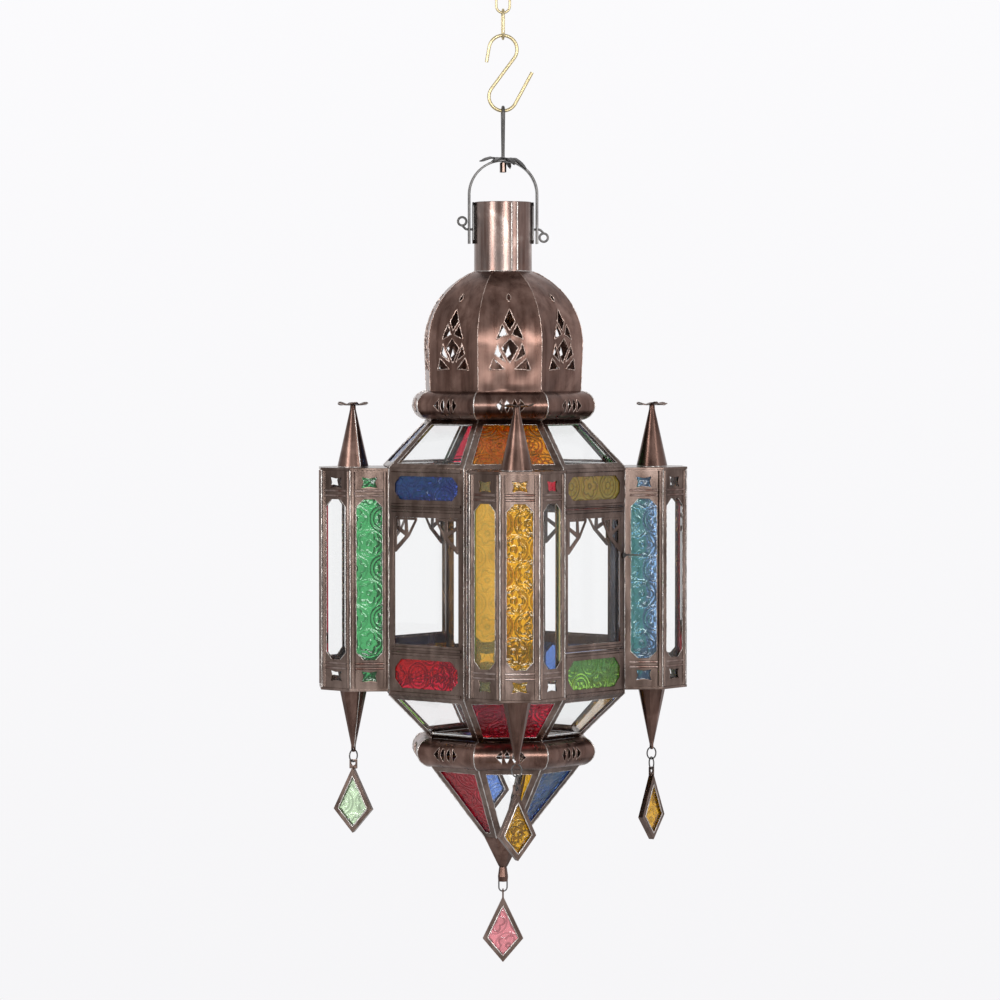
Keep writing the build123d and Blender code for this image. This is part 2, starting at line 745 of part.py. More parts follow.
# Pintles on the front turret's side for the hinge, and a peg on the right turret's side that keeps the latch
toward_front = Vector(cos(eighth), sin(eighth), 0)
toward_right = Vector(cos(eighth), -sin(eighth), 0)
arm = Vector(hinge_x, -hinge_y, 0).dot(toward_front) - turret_apothem
peg_length = latch_wire + 3 * float_gap
peg_point = Vector(latch_x, latch_bend, 0) + toward_front * latch_wire
peg_foot = peg_point - toward_right * (peg_point.dot(toward_right) - turret_apothem)
with BuildPart() as fittings_flat:
    for foot in knuckle_feet:
        arm_z = foot - float_gap - pintle_radius
        with BuildSketch(Plane.XY.offset(arm_z)):
            with Locations((hinge_x, -hinge_y)):
                Circle(pintle_radius)
        extrude(amount=knuckle_height + float_gap + 2 * pintle_radius)
        with BuildSketch(Plane(Vector(hinge_x, -hinge_y, arm_z) - toward_front * arm, z_dir=toward_front)):
            RegularPolygon(pintle_radius, wire_sides)
        extrude(amount=arm)
    with BuildSketch(Plane(peg_foot + Vector(0, 0, latch_z - latch_wire - float_gap), z_dir=toward_right)):
        RegularPolygon(latch_wire / 2, wire_sides)
    extrude(amount=peg_length)
with BuildPart() as door_fittings:
    with Locations(turned(door_angle)):
        add(fittings_flat.part)
finish(door_fittings, "door_fittings")

# Turrets: five pierced strips with a concave-sided window near each end
strip_slot = wide_slot(strip_width - 2 * bar, turret_height - 2 * strip_end, strip_chamfer, turret_height / 2)
strip_foot, strip_head = (turret_apothem, turret_foot), (turret_apothem, turret_top)
strip_tray, strip_pane = glazed_face(strip_foot, strip_head, [strip_slot])
star_x, star_y = strip_window / 2, strip_window_height / 2
with BuildPart() as pierced_strip:
    add(strip_tray)
    with BuildSketch(face_plane(strip_foot, strip_head)):
        for mid in (star_centre, turret_height - star_centre):
            Polygon(*[(star_x * x, mid + star_y * y) for x, y in star_shares], align=None)
    extrude(amount=-frame_depth, mode=Mode.SUBTRACT)
with BuildPart() as turret_frames:
    with Locations(*[strip_place(turret, strip) for turret in turret_angles for strip in strip_angles]):
        add(pierced_strip.part)
finish(turret_frames, "turret_frames")

lip = turret_apothem + turret_lip
plate_corners = [(wall_apothem + turret_clear, lip), (turret_centre + lip * half_tan, lip),
                 (turret_centre + lip, lip * half_tan)]
plate_corners += [(x, -y) for x, y in reversed(plate_corners)]
for name, foot in [("turret_caps", turret_top), ("turret_floors", turret_foot - turret_plate)]:
    with BuildPart() as plates:
        with BuildSketch(Plane.XY.offset(foot)):
            with Locations(*[turned(turret) for turret in turret_angles]):
                Polygon(*plate_corners, align=None)
        extrude(amount=turret_plate)
    finish(plates, name)

# Spires with flower rosettes on the turret tops
spire_top = spire_height + spire_neck
with BuildPart() as spire:
    add(rolled_cone(spire_radius, spire_tip, spire_height))
    with BuildSketch(Plane.XY.offset(spire_height)):
        RegularPolygon(spire_tip, cone_sides, rotation=180 / cone_sides)
    extrude(amount=spire_neck)
with BuildPart() as turret_spires:
    spire_foot = turret_top + turret_plate
    with Locations(*[out_at(turret, cone_radius_from_axis, spire_foot) for turret in turret_angles]):
        add(spire.part)
finish(turret_spires, "turret_spires")
flower_z = spire_foot + spire_top
with BuildPart() as spire_rosettes:
    with Locations(*[out_at(turret, cone_radius_from_axis, flower_z) for turret in turret_angles]):
        add(petal_ring(flower_reach, flower_disc, front_sheet, flower_petals, flower_lift, spire_tip / 3))
finish(spire_rosettes, "spire_rosettes")

# Panes, grouped by glass: each entry gives the storey's pane and the azimuths that take that colour
frieze_pane, dado_pane = panel_panes["frieze_frames"], panel_panes["dado_frames"]
glass = {
    "clear": [(roof_pane, window_angles), (slope_pane, window_angles), (pyramid_pane, [front, back])],
    "amber": [(roof_pane, [front]), (frieze_pane, [-45]), (dado_pane, [135]), (slope_pane, [right]),
              (pyramid_pane, [45])],
    "red": [(roof_pane, [back]), (frieze_pane, [45]), (dado_pane, [-135]), (slope_pane, [front]),
            (pyramid_pane, [-135, 135])],
    "blue": [(roof_pane, [left]), (frieze_pane, [-135]), (dado_pane, [45]), (slope_pane, [back]),
             (pyramid_pane, [-45])],
    "green": [(roof_pane, [right]), (frieze_pane, [135]), (dado_pane, [-45]), (slope_pane, [left]),
              (pyramid_pane, [right, left])],
}
strip_glass = {
    "clear": [(front, 45), (left, -90), (left, -45), (left, 45), (right, -45), (right, 45), (back, -45),
              (back, 45)],
    "amber": [(front, -45), (front, 0), (back, 0), (left, 0)],
    "red": [(right, 0), (back, -90)],
    "blue": [(front, -90), (right, -90)],
    "green": [(front, 90), (left, 90), (right, 90), (back, 90)],
}
for colour, storeys in glass.items():
    with BuildPart() as panes:
        for pane, angles in storeys:
            with Locations(*[turned(angle) for angle in angles]):
                add(pane)
        with Locations(*[strip_place(*place) for place in strip_glass[colour]]):
            add(strip_pane)
    finish(panes, f"{colour}_panes")

# Bottom cap, faceted like the pyramid, and the collar below it
cap_foot, cap_point = regular(foot_apothem), regular(cap_tip)
with BuildPart() as cap_shell:
    add(tapered(cap_foot, cap_point, cap_height, face_count))
    add(tapered(cap_foot - sheet, cap_point / 2, cap_height - 2 * sheet, face_count), mode=Mode.SUBTRACT)
with BuildPart() as bottom_cap:
    with Locations(Location((0, 0, cap_top), (180, 0, 0))):
        add(cap_shell.part)
finish(bottom_cap, "bottom_cap")

collar_foot = collar_z - collar_height
collar_flare = collar_height / 3
girth = (0, 0, collar_foot + collar_flare)
with BuildPart() as finial_collar:
    with Locations(girth):
        add(tapered(collar_girth, collar_top, collar_height - collar_flare, cone_sides))
    with Locations(Location(girth, (180, 0, 0))):
        add(tapered(collar_girth, collar_radius, collar_flare, cone_sides))
finish(finial_collar, "finial_collar")

hoop_half = collar_radius - hoop_wire / 2
hoop_bend_z = collar_foot - hoop_drop + hoop_half + hoop_wire / 2
hoop_bend = bend_points((0, hoop_bend_z), hoop_half, 180, 180)
with BuildPart() as finial_hoop:
    hoop_points = [(-hoop_half, collar_foot), *hoop_bend, (hoop_half, collar_foot)]
    add(wire_along(upright(front), hoop_points, hoop_wire))
finish(finial_hoop, "finial_hoop")

# Pendant cones under the turrets, each with a holed tab that carries its drop's first ring
# Each row gives the drop's turret, the azimuths of its rings from the top down, its eye and its face
drops = {
    "left": (left, [-144], -114, -114),
    "front": (front, [-5, -95], -65, -65),
    "right": (right, [20, -70], -40, -40),
    "back": (back, [80], 110, 110),
}
bottom_drop_turns = (-5, -95)
pendant_top = turret_foot - turret_plate
pendant_foot = pendant_top - pendant_height
with BuildPart() as pendant:
    add(rolled_cone(pendant_radius, pendant_tip, pendant_height))
with BuildPart() as turret_pendants:
    for drop in drops.values():
        turret, ring_turns = drop[:2]
        place = out_at(turret, cone_radius_from_axis, pendant_top)
        with Locations(place * Location((0, 0, 0), (180, 0, 0))):
            add(pendant.part)
        tip = place.position - Vector(0, 0, pendant_height)
        with BuildSketch(upright(ring_turns[0], tip)):
            with Locations((0, -tab_drop / 2 + tab_width / 4)):
                Rectangle(tab_width, tab_drop + tab_width / 2)
            with Locations((0, -tab_drop)):
                RegularPolygon(tab_width / 2, face_count, major_radius=False, rotation=half_face)
                RegularPolygon(tab_hole, face_count, major_radius=False, rotation=half_face,
                               mode=Mode.SUBTRACT)
        extrude(amount=tab_sheet / 2, both=True)
finish(turret_pendants, "turret_pendants")


# Kite drops: a channelled frame with an eye at its top, and the pane in its groove
def kite_outline(inset):
    """Corners of the kite, hung below its eye, drawn in by the inset."""
    half, side_y = kite_width / 2, kite_top - kite_corner_share * kite_height
    low_y = kite_top - kite_height
    upper_turn, lower_turn = hypot(half, kite_top - side_y), hypot(half, side_y - low_y)
    peak = kite_top - inset * upper_turn / half
    foot = low_y + inset * lower_turn / half
    upper_lean, lower_lean = half / (kite_top - side_y), half / (side_y - low_y)
    corner_y = (peak * upper_lean + foot * lower_lean) / (upper_lean + lower_lean)
    corner_x = (peak - corner_y) * upper_lean
    return [(0, peak), (-corner_x, corner_y), (0, foot), (corner_x, corner_y)]


def kite_drop(name, hang, eye_turn, face_turn):
    """Frame and pane of a drop whose eye's hole is centred on the hanging point."""
    with BuildPart() as frame:
        with BuildSketch(upright(face_turn, hang)):
            Polygon(*kite_outline(0), align=None)
            Polygon(*kite_outline(kite_bar), align=None, mode=Mode.SUBTRACT)
        extrude(amount=kite_depth / 2, both=True)
        with BuildSketch(upright(face_turn, hang)):
            Polygon(*kite_outline(kite_rebate), align=None)
        extrude(amount=pane_thickness / 2 + pane_gap, both=True, mode=Mode.SUBTRACT)
        with BuildSketch(upright(eye_turn, hang)):
            with Locations((0, (eye_up_share - 1 / 2) * eye_height)):
                Rectangle(eye_width, eye_height)
            RegularPolygon(eye_hole, face_count, major_radius=False, rotation=half_face, mode=Mode.SUBTRACT)
        extrude(amount=tab_sheet / 2, both=True)
    finish(frame, f"{name}_drop_frame")
    with BuildPart() as pane:
        with BuildSketch(upright(face_turn, hang)):
            Polygon(*kite_outline(kite_rebate + pane_gap), align=None)
        extrude(amount=pane_thickness / 2, both=True)
    finish(pane, f"{name}_drop_pane")


eye_hang = eye_hole - ring_wire / 2 - ring_play
for name, (turret, ring_turns, eye_turn, face_turn) in drops.items():
    axis = out_at(turret, cone_radius_from_axis, pendant_foot).position
    wire_z = pendant_foot - tab_drop - tab_hole + ring_wire / 2 + ring_play
    for level, turn in zip(("upper", "lower"), ring_turns):
        with BuildPart() as drop_ring:
            centre = (axis.X, axis.Y, wire_z - ring_bend)
            add(wire_link(upright(turn - 90, centre), ring_bend, 0, ring_wire))
        finish(drop_ring, f"{name}_ring_{level}" if len(ring_turns) > 1 else f"{name}_ring")
        low_wire_z = wire_z - 2 * ring_bend
        wire_z = low_wire_z + ring_wire + float_gap
    kite_drop(name, (axis.X, axis.Y, low_wire_z - eye_hang), eye_turn, face_turn)
kite_drop("bottom", (0, 0, hoop_bend_z - hoop_half - eye_hang), *bottom_drop_turns)

# Candle bridge across the lower ring, and the cup that stands on it
with BuildPart() as candle_bridge:
    with BuildSketch(Plane.XY.offset(slope_foot)):
        Rectangle(2 * (ring_core - ring_flange + sheet), bridge_width)
    extrude(amount=sheet)
finish(candle_bridge, "candle_bridge")

with BuildPart() as candle_cup:
    with BuildSketch(Plane.XY.offset(slope_foot + sheet)):
        Circle(cup_bore + cup_wall)
    extrude(amount=cup_height)
    with BuildSketch(Plane.XY.offset(slope_foot + sheet + cup_floor)):
        Circle(cup_bore)
    extrude(amount=cup_height, mode=Mode.SUBTRACT)
finish(candle_cup, "candle_cup")
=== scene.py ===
"""Looks of the hanging glass lantern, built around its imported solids.

Shapes are worked out in millimetres in the solids' frame and stored in metres.
"""
import json
from math import asin, cos, degrees, hypot, pi, radians, sin, sqrt, tan

import bpy
import numpy as np
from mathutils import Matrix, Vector
from mathutils.geometry import delaunay_2d_cdt


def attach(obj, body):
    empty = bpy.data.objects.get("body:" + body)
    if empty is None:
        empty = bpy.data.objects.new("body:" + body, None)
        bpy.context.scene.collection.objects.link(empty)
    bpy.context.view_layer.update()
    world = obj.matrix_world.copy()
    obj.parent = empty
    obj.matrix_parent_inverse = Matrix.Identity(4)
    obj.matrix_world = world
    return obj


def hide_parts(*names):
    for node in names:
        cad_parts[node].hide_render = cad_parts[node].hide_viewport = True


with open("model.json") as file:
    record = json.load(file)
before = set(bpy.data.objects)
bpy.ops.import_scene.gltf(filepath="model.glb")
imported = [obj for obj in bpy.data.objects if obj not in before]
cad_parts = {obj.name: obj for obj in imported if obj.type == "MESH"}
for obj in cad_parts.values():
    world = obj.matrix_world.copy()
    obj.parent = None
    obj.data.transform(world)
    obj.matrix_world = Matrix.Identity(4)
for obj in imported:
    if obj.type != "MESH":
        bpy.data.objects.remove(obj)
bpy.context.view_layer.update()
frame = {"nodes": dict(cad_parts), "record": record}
nodes = frame["nodes"]
MM = 0.001

# Plan, with the same names as the solids' source
face_count = 8
half_face = 180 / face_count
half_tan = tan(radians(half_face))
face_angles = [2 * half_face * k for k in range(face_count)]
front, right, back, left = -90, 0, 90, 180
turrets = [front, right, back, left]
window_angles = [-45, 45, 135, -135]
door_angle, fixed_windows = window_angles[0], window_angles[1:]
strip_angles = [-90, -45, 0, 45, 90]
wall_apothem, throat_apothem, foot_apothem = 82.0, 51.8, 13.5
strip_width = 26.6
turret_apothem = strip_width / 2 / half_tan
turret_centre = wall_apothem + strip_width / 2
cone_from_axis = 105.0

# Levels
link_low, lower_link_low = -19.3, -37.4
hook_upper_centre, hook_lower_centre = -44.8, -77.6
loop_top, bail_top, pivot_z = -84.8, -121.3, -170.0
neck_top, dome_top, dome_foot = -151.0, -199.4, -282.7
roof_top, wall_top, wall_foot = -302.3, -335.2, -492.0
turret_top, turret_foot, turret_plate = -337.3, -488.1, 1.8
frieze_foot, dado_top = -362.5, -461.0
door_foot, door_head = -460.4, -363.1
slope_foot, pyramid_top, cap_top = -523.5, -543.1, -594.9
spire_foot, spire_height = turret_top + turret_plate, 43.0
pendant_top, ring_top, ring_pitch = -489.9, -533.4, 7.1
collar_foot, hoop_foot, bottom_hang = -627.1, -634.1, -635.0

# Sheet and glass
sheet = 1.2
front_sheet, seat_gap = 0.8, 0.05
rebate, pane_gap, pane_thickness = 3.2, 0.15, 2.4


# Placing
def turn(points, angle):
    """Points turned about the lantern's axis."""
    c, s = cos(radians(angle)), sin(radians(angle))
    x, y, z = np.asarray(points, float).reshape(-1, 3).T
    return np.column_stack([x * c - y * s, x * s + y * c, z])


def on_upright(facing, origin, local):
    """Points (across, up) of the upright plane that looks along the azimuth."""
    c, s = cos(radians(facing)), sin(radians(facing))
    return [(origin[0] - s * x, origin[1] + c * x, origin[2] + y) for x, y in local]


def arc(centre, radius, start, sweep, steps=24):
    """Points along a flat arc, angles in degrees."""
    angles = [radians(start + sweep * i / steps) for i in range(steps + 1)]
    return [(centre[0] + radius * cos(a), centre[1] + radius * sin(a)) for a in angles]


def straight(first, second, parts=40):
    """Points along a straight line."""
    return [tuple(a + (b - a) * i / parts for a, b in zip(first, second)) for i in range(parts + 1)]


def strip_turn(points, turret, strip):
    """Points of one turret face, from the lantern's axis to its place."""
    return turn(turn(points, strip) + (turret_centre, 0, 0), turret)


# Making pieces
def settle(piece, body, material, stands_for=()):
    bpy.context.collection.objects.link(piece)
    piece.data.materials.append(material)
    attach(piece, body)
    if stands_for:
        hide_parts(*stands_for)
    return piece


def add_mesh(name, points, faces, body, slot, material, stands_for=(), sharp=38):
    """Mesh piece with smooth faces that break at sharp edges."""
    mesh = bpy.data.meshes.new(name)
    mesh.from_pydata((np.asarray(points, float) * MM).tolist(), [], faces)
    mesh.validate()
    mesh.polygons.foreach_set("use_smooth", [True] * len(mesh.polygons))
    mesh.set_sharp_from_angle(angle=radians(sharp))
    return settle(bpy.data.objects.new(name, mesh), body, material, stands_for)


def add_wires(name, runs, radius, body, material, stands_for=(), closed=False, sides=4, radii=None):
    """Round wire along each run of points."""
    curve = bpy.data.curves.new(name, "CURVE")
    curve.dimensions = "3D"
    curve.bevel_depth = radius * MM
    curve.bevel_resolution = sides
    curve.use_fill_caps = True
    for index, run in enumerate(runs):
        spline = curve.splines.new("POLY")
        spline.points.add(len(run) - 1)
        for at, (point, spot) in enumerate(zip(spline.points, run)):
            point.co = (spot[0] * MM, spot[1] * MM, spot[2] * MM, 1)
            if radii is not None:
                point.radius = radii[index][at]
        spline.use_cyclic_u = closed
        spline.use_smooth = True
    return settle(bpy.data.objects.new(name, curve), body, material, stands_for)


def add_beads(name, beads, radius, finish, body="lantern", closed=False):
    """Uneven wires out of beads, each a run of points with a thickness at every point."""
    runs, radii = zip(*beads)
    add_wires(name, runs, radius, body, finish, closed=closed, sides=2, radii=radii)


def thicken(piece, thickness):
    """Sheet thickness for a piece made as a skin."""
    skin = piece.modifiers.new("thickness", "SOLIDIFY")
    skin.thickness = thickness * MM
    skin.offset = -1.0


def join_shapes(shapes):
    """One list of points and one of faces out of several."""
    points, faces, base = [], [], 0
    for spots, sides in shapes:
        points.append(np.asarray(spots, float).reshape(-1, 3))
        faces += [[i + base for i in side] for side in sides]
        base += len(points[-1])
    return np.vstack(points), faces


def all_round(shape):
    """A shape repeated on each of the eight faces."""
    return join_shapes([(turn(shape[0], angle), shape[1]) for angle in face_angles])


def quads(rows, cols, round_rows=False, round_cols=False, flip=False):
    """Faces of a grid of points kept row by row. A round grid closes on itself, and flip turns faces over."""
    faces = []
    for i in range(rows if round_rows else rows - 1):
        low, high = i * cols, (i + 1) % rows * cols
        for j in range(cols if round_cols else cols - 1):
            k = (j + 1) % cols
            face = [low + j, high + j, high + k, low + k]
            faces.append(face[:1] + face[:0:-1] if flip else face)
    return faces


def grid_rim(rows, cols):
    """Points around the edge of a grid, in order."""
    rim = list(range(cols)) + [r * cols + cols - 1 for r in range(1, rows)]
    rim += [(rows - 1) * cols + c for c in range(cols - 2, -1, -1)]
    return rim + [r * cols for r in range(rows - 2, 0, -1)]


def lathe(profile, steps):
    """Surface of revolution about the lantern's axis, from (radius, height) points on a closed outline."""
    angles = [2 * pi * i / steps for i in range(steps)]
    points = [(r * cos(a), r * sin(a), z) for a in angles for r, z in profile]
    return points, quads(steps, len(profile), round_rows=True, round_cols=True)


def sweep_flat(path, across, half_width, half_thick, ease):
    """Flat bar with eased edges, swept along a path that lies square to the across direction."""
    path, across = np.asarray(path, float), np.asarray(across, float)
    tangent = np.gradient(path, axis=0)
    tangent /= np.linalg.norm(tangent, axis=1)[:, None]
    out = np.cross(across, tangent)
    w, t, e = half_width, half_thick, ease
    ring = [(w - e, t), (e - w, t), (-w, t - e), (-w, e - t), (e - w, -t), (w - e, -t), (w, e - t), (w, t - e)]
    points = [spot + across * a + side * b for spot, side in zip(path, out) for a, b in ring]
    count, last = len(ring), (len(path) - 1) * len(ring)
    faces = quads(len(path), count, round_cols=True, flip=True)
    faces += [list(range(count)), list(range(last, last + count))[::-1]]
    return points, faces


# Materials
def set_inputs(tree, node, inputs):
    """Each input of a node set to a constant, or linked to another node's socket."""
    for key, value in inputs.items():
        if isinstance(value, bpy.types.NodeSocket):
            tree.links.new(value, node.inputs[key])
        else:
            node.inputs[key].default_value = value


def add_node(tree, kind, inputs):
    node = tree.nodes.new(kind)
    set_inputs(tree, node, inputs)
    return node


def material(name, metallic=0.0, roughness=0.4, colour=(0.5, 0.5, 0.5)):
    made = bpy.data.materials.new(name)
    made.use_nodes = True
    tree = made.node_tree
    shader = tree.nodes["Principled BSDF"]
    set_inputs(tree, shader, {"Metallic": metallic, "Roughness": roughness, "Base Color": (*colour, 1)})
    return made, tree, shader


def noise_at(tree, scale, stretch=(1, 1, 1), detail=4.0, rough=0.55, distortion=0.0):
    """Noise in the object's own coordinates, stretched along its axes."""
    place = tree.nodes.new("ShaderNodeTexCoord")
    fit = add_node(tree, "ShaderNodeMapping", {"Vector": place.outputs["Object"], "Scale": stretch})
    noise = add_node(tree, "ShaderNodeTexNoise",
                     {"Vector": fit.outputs["Vector"], "Scale": scale, "Detail": detail, "Roughness": rough,
                      "Distortion": distortion})
    return noise.outputs["Fac"]


def ramp(tree, value, stops):
    """Colour ramp over a value, from (position, colour) stops."""
    node = tree.nodes.new("ShaderNodeValToRGB")
    band = node.color_ramp
    while len(band.elements) < len(stops):
        band.elements.new(0.5)
    for element, (spot, colour) in zip(band.elements, stops):
        element.position = spot
        element.color = (*colour, 1)
    tree.links.new(value, node.inputs["Fac"])
    return node.outputs["Color"]


def blend_colours(tree, share, first, second, mode="MIX"):
    """Two linked colours mixed in a constant share."""
    node = tree.nodes.new("ShaderNodeMix")
    node.data_type = "RGBA"
    node.blend_type = mode
    set_inputs(tree, node, {0: share, 6: first, 7: second})
    return node.outputs[2]


def span(tree, value, low, high):
    """A value from 0 to 1, spread over a range."""
    node = add_node(tree, "ShaderNodeMapRange", {"Value": value, "To Min": low, "To Max": high})
    return node.outputs["Result"]


def bump(tree, shader, height, strength, distance):
    node = add_node(tree, "ShaderNodeBump", {"Height": height, "Strength": strength, "Distance": distance})
    tree.links.new(node.outputs["Normal"], shader.inputs["Normal"])


def metal(name, dark, mid, light, roughness, brushing=(1, 1, 1), grain=0.15, patches=26.0):
    """Aged metal: brushed streaks over cloudy patina, with uneven gloss and a fine grain."""
    streak_scale, streak_share, grain_scale, grain_depth = 160.0, 0.38, 900.0, 0.0002
    made, tree, shader = material(name, metallic=1.0)
    streaks = noise_at(tree, streak_scale, brushing, detail=5.0)
    clouds = noise_at(tree, patches, detail=6.0, rough=0.65, distortion=0.4)
    worn = ramp(tree, clouds, [(0.34, dark), (0.52, mid), (0.70, light)])
    brushed = ramp(tree, streaks, [(0.35, mid), (0.62, light)])
    set_inputs(tree, shader, {"Base Color": blend_colours(tree, streak_share, worn, brushed),
                              "Roughness": span(tree, streaks, *roughness)})
    bump(tree, shader, noise_at(tree, grain_scale, brushing, detail=3.0), grain, grain_depth)
    return made


def glass(name, colour, clearness=0.87, roughness=0.03, ripple=0.12, ripple_scale=220.0, ior=1.47):
    """Coloured glass with a slightly rippled skin and some body colour, deeper where its relief stands up."""
    cloud_scale, cloud_shade, relief_shade, ripple_depth = 60.0, 0.86, 0.5, 0.0003
    made, tree, shader = material(name, roughness=roughness, colour=colour)
    set_inputs(tree, shader, {"Transmission Weight": clearness, "IOR": ior})
    if clearness < 1:
        clouds = noise_at(tree, cloud_scale, detail=3.0)
        deep = tuple(cloud_shade * c for c in colour)
        body = ramp(tree, clouds, [(0.35, deep), (0.65, colour)])
        relief = tree.nodes.new("ShaderNodeAttribute")
        relief.attribute_name = "relief"
        lines = ramp(tree, relief.outputs["Fac"], [(0.25, (1, 1, 1)), (0.85, (relief_shade,) * 3)])
        tree.links.new(blend_colours(tree, 1.0, body, lines, "MULTIPLY"), shader.inputs["Base Color"])
    bump(tree, shader, noise_at(tree, ripple_scale, detail=2.0), ripple, ripple_depth)
    return made


upright_brush = (1, 1, 0.06)
copper = metal("antique_copper", (0.032, 0.017, 0.014), (0.124, 0.067, 0.052), (0.360, 0.232, 0.190),
               (0.20, 0.38), upright_brush)
# Darker copy of the antique copper: painted shade, used on the spires, the turret pendants, the bottom cap and
# the finial collar
painted_shade_copper = metal("shaded_copper", (0.025, 0.014, 0.011), (0.090, 0.049, 0.038), (0.270, 0.172, 0.140),
                    (0.20, 0.38), upright_brush)
copper_dark = metal("frame_copper", (0.032, 0.021, 0.017), (0.115, 0.078, 0.063), (0.330, 0.246, 0.210),
                    (0.16, 0.34), brushing=(1, 1, 0.12))
tinned = metal("tinned_copper", (0.038, 0.017, 0.013), (0.145, 0.078, 0.061), (0.540, 0.460, 0.420),
               (0.16, 0.34), upright_brush)
solder = metal("tinned_solder", (0.26, 0.23, 0.21), (0.50, 0.46, 0.43), (0.82, 0.78, 0.75), (0.16, 0.36),
               grain=0.4, patches=90.0)
burr = metal("cut_copper", (0.16, 0.10, 0.08), (0.42, 0.29, 0.24), (0.80, 0.68, 0.62), (0.18, 0.36),
             grain=0.3, patches=120.0)
steel = metal("dark_steel", (0.040, 0.038, 0.037), (0.090, 0.086, 0.084), (0.20, 0.192, 0.186), (0.28, 0.46))
brass = metal("pale_brass", (0.46, 0.37, 0.20), (0.54, 0.45, 0.26), (0.64, 0.55, 0.34), (0.28, 0.36),
              grain=0.02)
glasses = {
    "clear": glass("clear_glass", (0.99, 0.996, 0.992), 1.0, 0.0, ripple=0.01, ripple_scale=60.0, ior=1.28),
    "amber": glass("amber_glass", (0.92, 0.50, 0.02)),
    "yellow": glass("smooth_amber_glass", (1.0, 0.90, 0.40), 0.92, 0.0, ripple=0.01, ripple_scale=60.0),
    "red": glass("red_glass", (0.72, 0.02, 0.055)),
    "blue": glass("blue_glass", (0.16, 0.32, 0.82)),
    "cobalt": glass("cobalt_glass", (0.08, 0.15, 0.62)),
    "sky": glass("sky_blue_glass", (0.36, 0.60, 0.93)),
    "honey": glass("honey_glass", (0.78, 0.30, 0.012)),
    "umber": glass("umber_glass", (0.46, 0.35, 0.06), 0.5),
    "green": glass("green_glass", (0.10, 0.50, 0.18)),
    "leaf": glass("leaf_green_glass", (0.42, 0.80, 0.14)),
    "pale_green": glass("pale_green_glass", (0.76, 0.98, 0.66)),
    "pink": glass("rose_glass", (0.95, 0.34, 0.38)),
}

# Chain links and S-hook in round wire
link_bend, link_run, link_wire = 4.7, 5.4, 1.8


def link_path(facing, centre, bend, half_run, squeeze=1.0):
    """Closed wire link on an upright plane: two half-round bends and two straight runs."""
    local = arc((0, half_run), bend, 0, 180) + arc((0, -half_run), bend, 180, 180)
    return on_upright(facing, centre, [(x * squeeze, y) for x, y in local])


for name, facing, low in [("chain_link_upper", front, link_low), ("chain_link_lower", right, lower_link_low)]:
    path = link_path(facing, (0, 0, low + link_bend + link_run), link_bend, link_run)
    add_wires(name + "_wire", [path], link_wire / 2, name, brass, [name], closed=True, sides=5)

hook_bend, hook_wire, hook_span = 9.8, 2.4, hook_upper_centre - hook_lower_centre
cross_angle = degrees(asin(2 * hook_bend / hook_span))
hook_short_end, hook_long_end, hook_short_tail, hook_long_tail = 170, -28.5, 10.8, 24.7
upper_bend = arc((0, hook_upper_centre), hook_bend, -cross_angle, hook_short_end + cross_angle, 40)
lower_bend = arc((0, hook_lower_centre), hook_bend, 180 - cross_angle, 180 + cross_angle + hook_long_end, 40)


def tail(start, length, heading, steps=8):
    """Straight end of a wire from a point along a heading."""
    step = (length * cos(radians(heading)) / steps, length * sin(radians(heading)) / steps)
    return [(start[0] + step[0] * i, start[1] + step[1] * i) for i in range(1, steps + 1)]


hook_path = tail(upper_bend[-1], hook_short_tail, hook_short_end + 90)[::-1] + upper_bend[::-1] + lower_bend
hook_path += tail(lower_bend[-1], hook_long_tail, hook_long_end + 90)
add_wires("s_hook_wire", [on_upright(front, (0, 0, 0), hook_path)], hook_wire / 2, "s_hook", brass,
          ["s_hook"], sides=6)

# Hang loop, bail, pins and rosettes
loop_bend, loop_leg, loop_throat, loop_wire, sleeve_length = 5.0, 1.1, 5.0, 2.2, 9.0
throat_z = bail_top + loop_throat
side_run = [(loop_leg, bail_top - sleeve_length), (loop_leg, throat_z - 1.0), (loop_leg + 0.1, throat_z),
            (loop_leg + 0.35, throat_z + 1.4)]
over = arc((0, loop_top - loop_bend), loop_bend, -8, 196, 28)
loop_path = side_run + over + [(-x, y) for x, y in reversed(side_run)]
add_wires("hang_loop_wire", [on_upright(right, (0, 0, 0), loop_path)], loop_wire / 2, "hang_loop",
          steel, ["hang_loop"], sides=5)

bail_mid, bail_spring, bail_foot, leg_parts = 23.75, bail_top - 24.5, pivot_z - 10.0, 8
bail_half_width, bail_half_thick = 3.5, 0.75
leg_steps = [bail_foot + (bail_spring - bail_foot) * i / leg_parts for i in range(leg_parts)]
bail_path = [(-bail_mid, 0, z) for z in leg_steps]
bail_path += [(x, 0, z) for x, z in arc((0, bail_spring), bail_mid, 180, -180, 48)]
bail_path += [(bail_mid, 0, z) for z in reversed(leg_steps)]
add_mesh("bail_strap_forged", *sweep_flat(bail_path, (0, 1, 0), bail_half_width, bail_half_thick, ease=0.3),
         "bail", "dark_steel", steel, ["bail_strap"])

pin_radius, pin_eye, pin_eye_offset = 0.81, 2.9, 5.6
pin_inner, pin_outer = 18.2, 25.7
pin_paths = []
for side, way in [(-1, 1), (1, -1)]:
    shank = [(pin_inner, 0), (pin_outer - 0.4, 0), (pin_outer + 0.5, 0.3 * way), (pin_outer + 1.6, 1.3 * way)]
    eye = arc((pin_outer + pin_eye, way * pin_eye_offset), pin_eye, -90 * way, 350 * way, 30)
    pin_paths.append([(side * x, 0, pivot_z + z) for x, z in shank + eye])
add_wires("bail_pin_wires", pin_paths, pin_radius, "lantern", steel, ["bail_pins"])


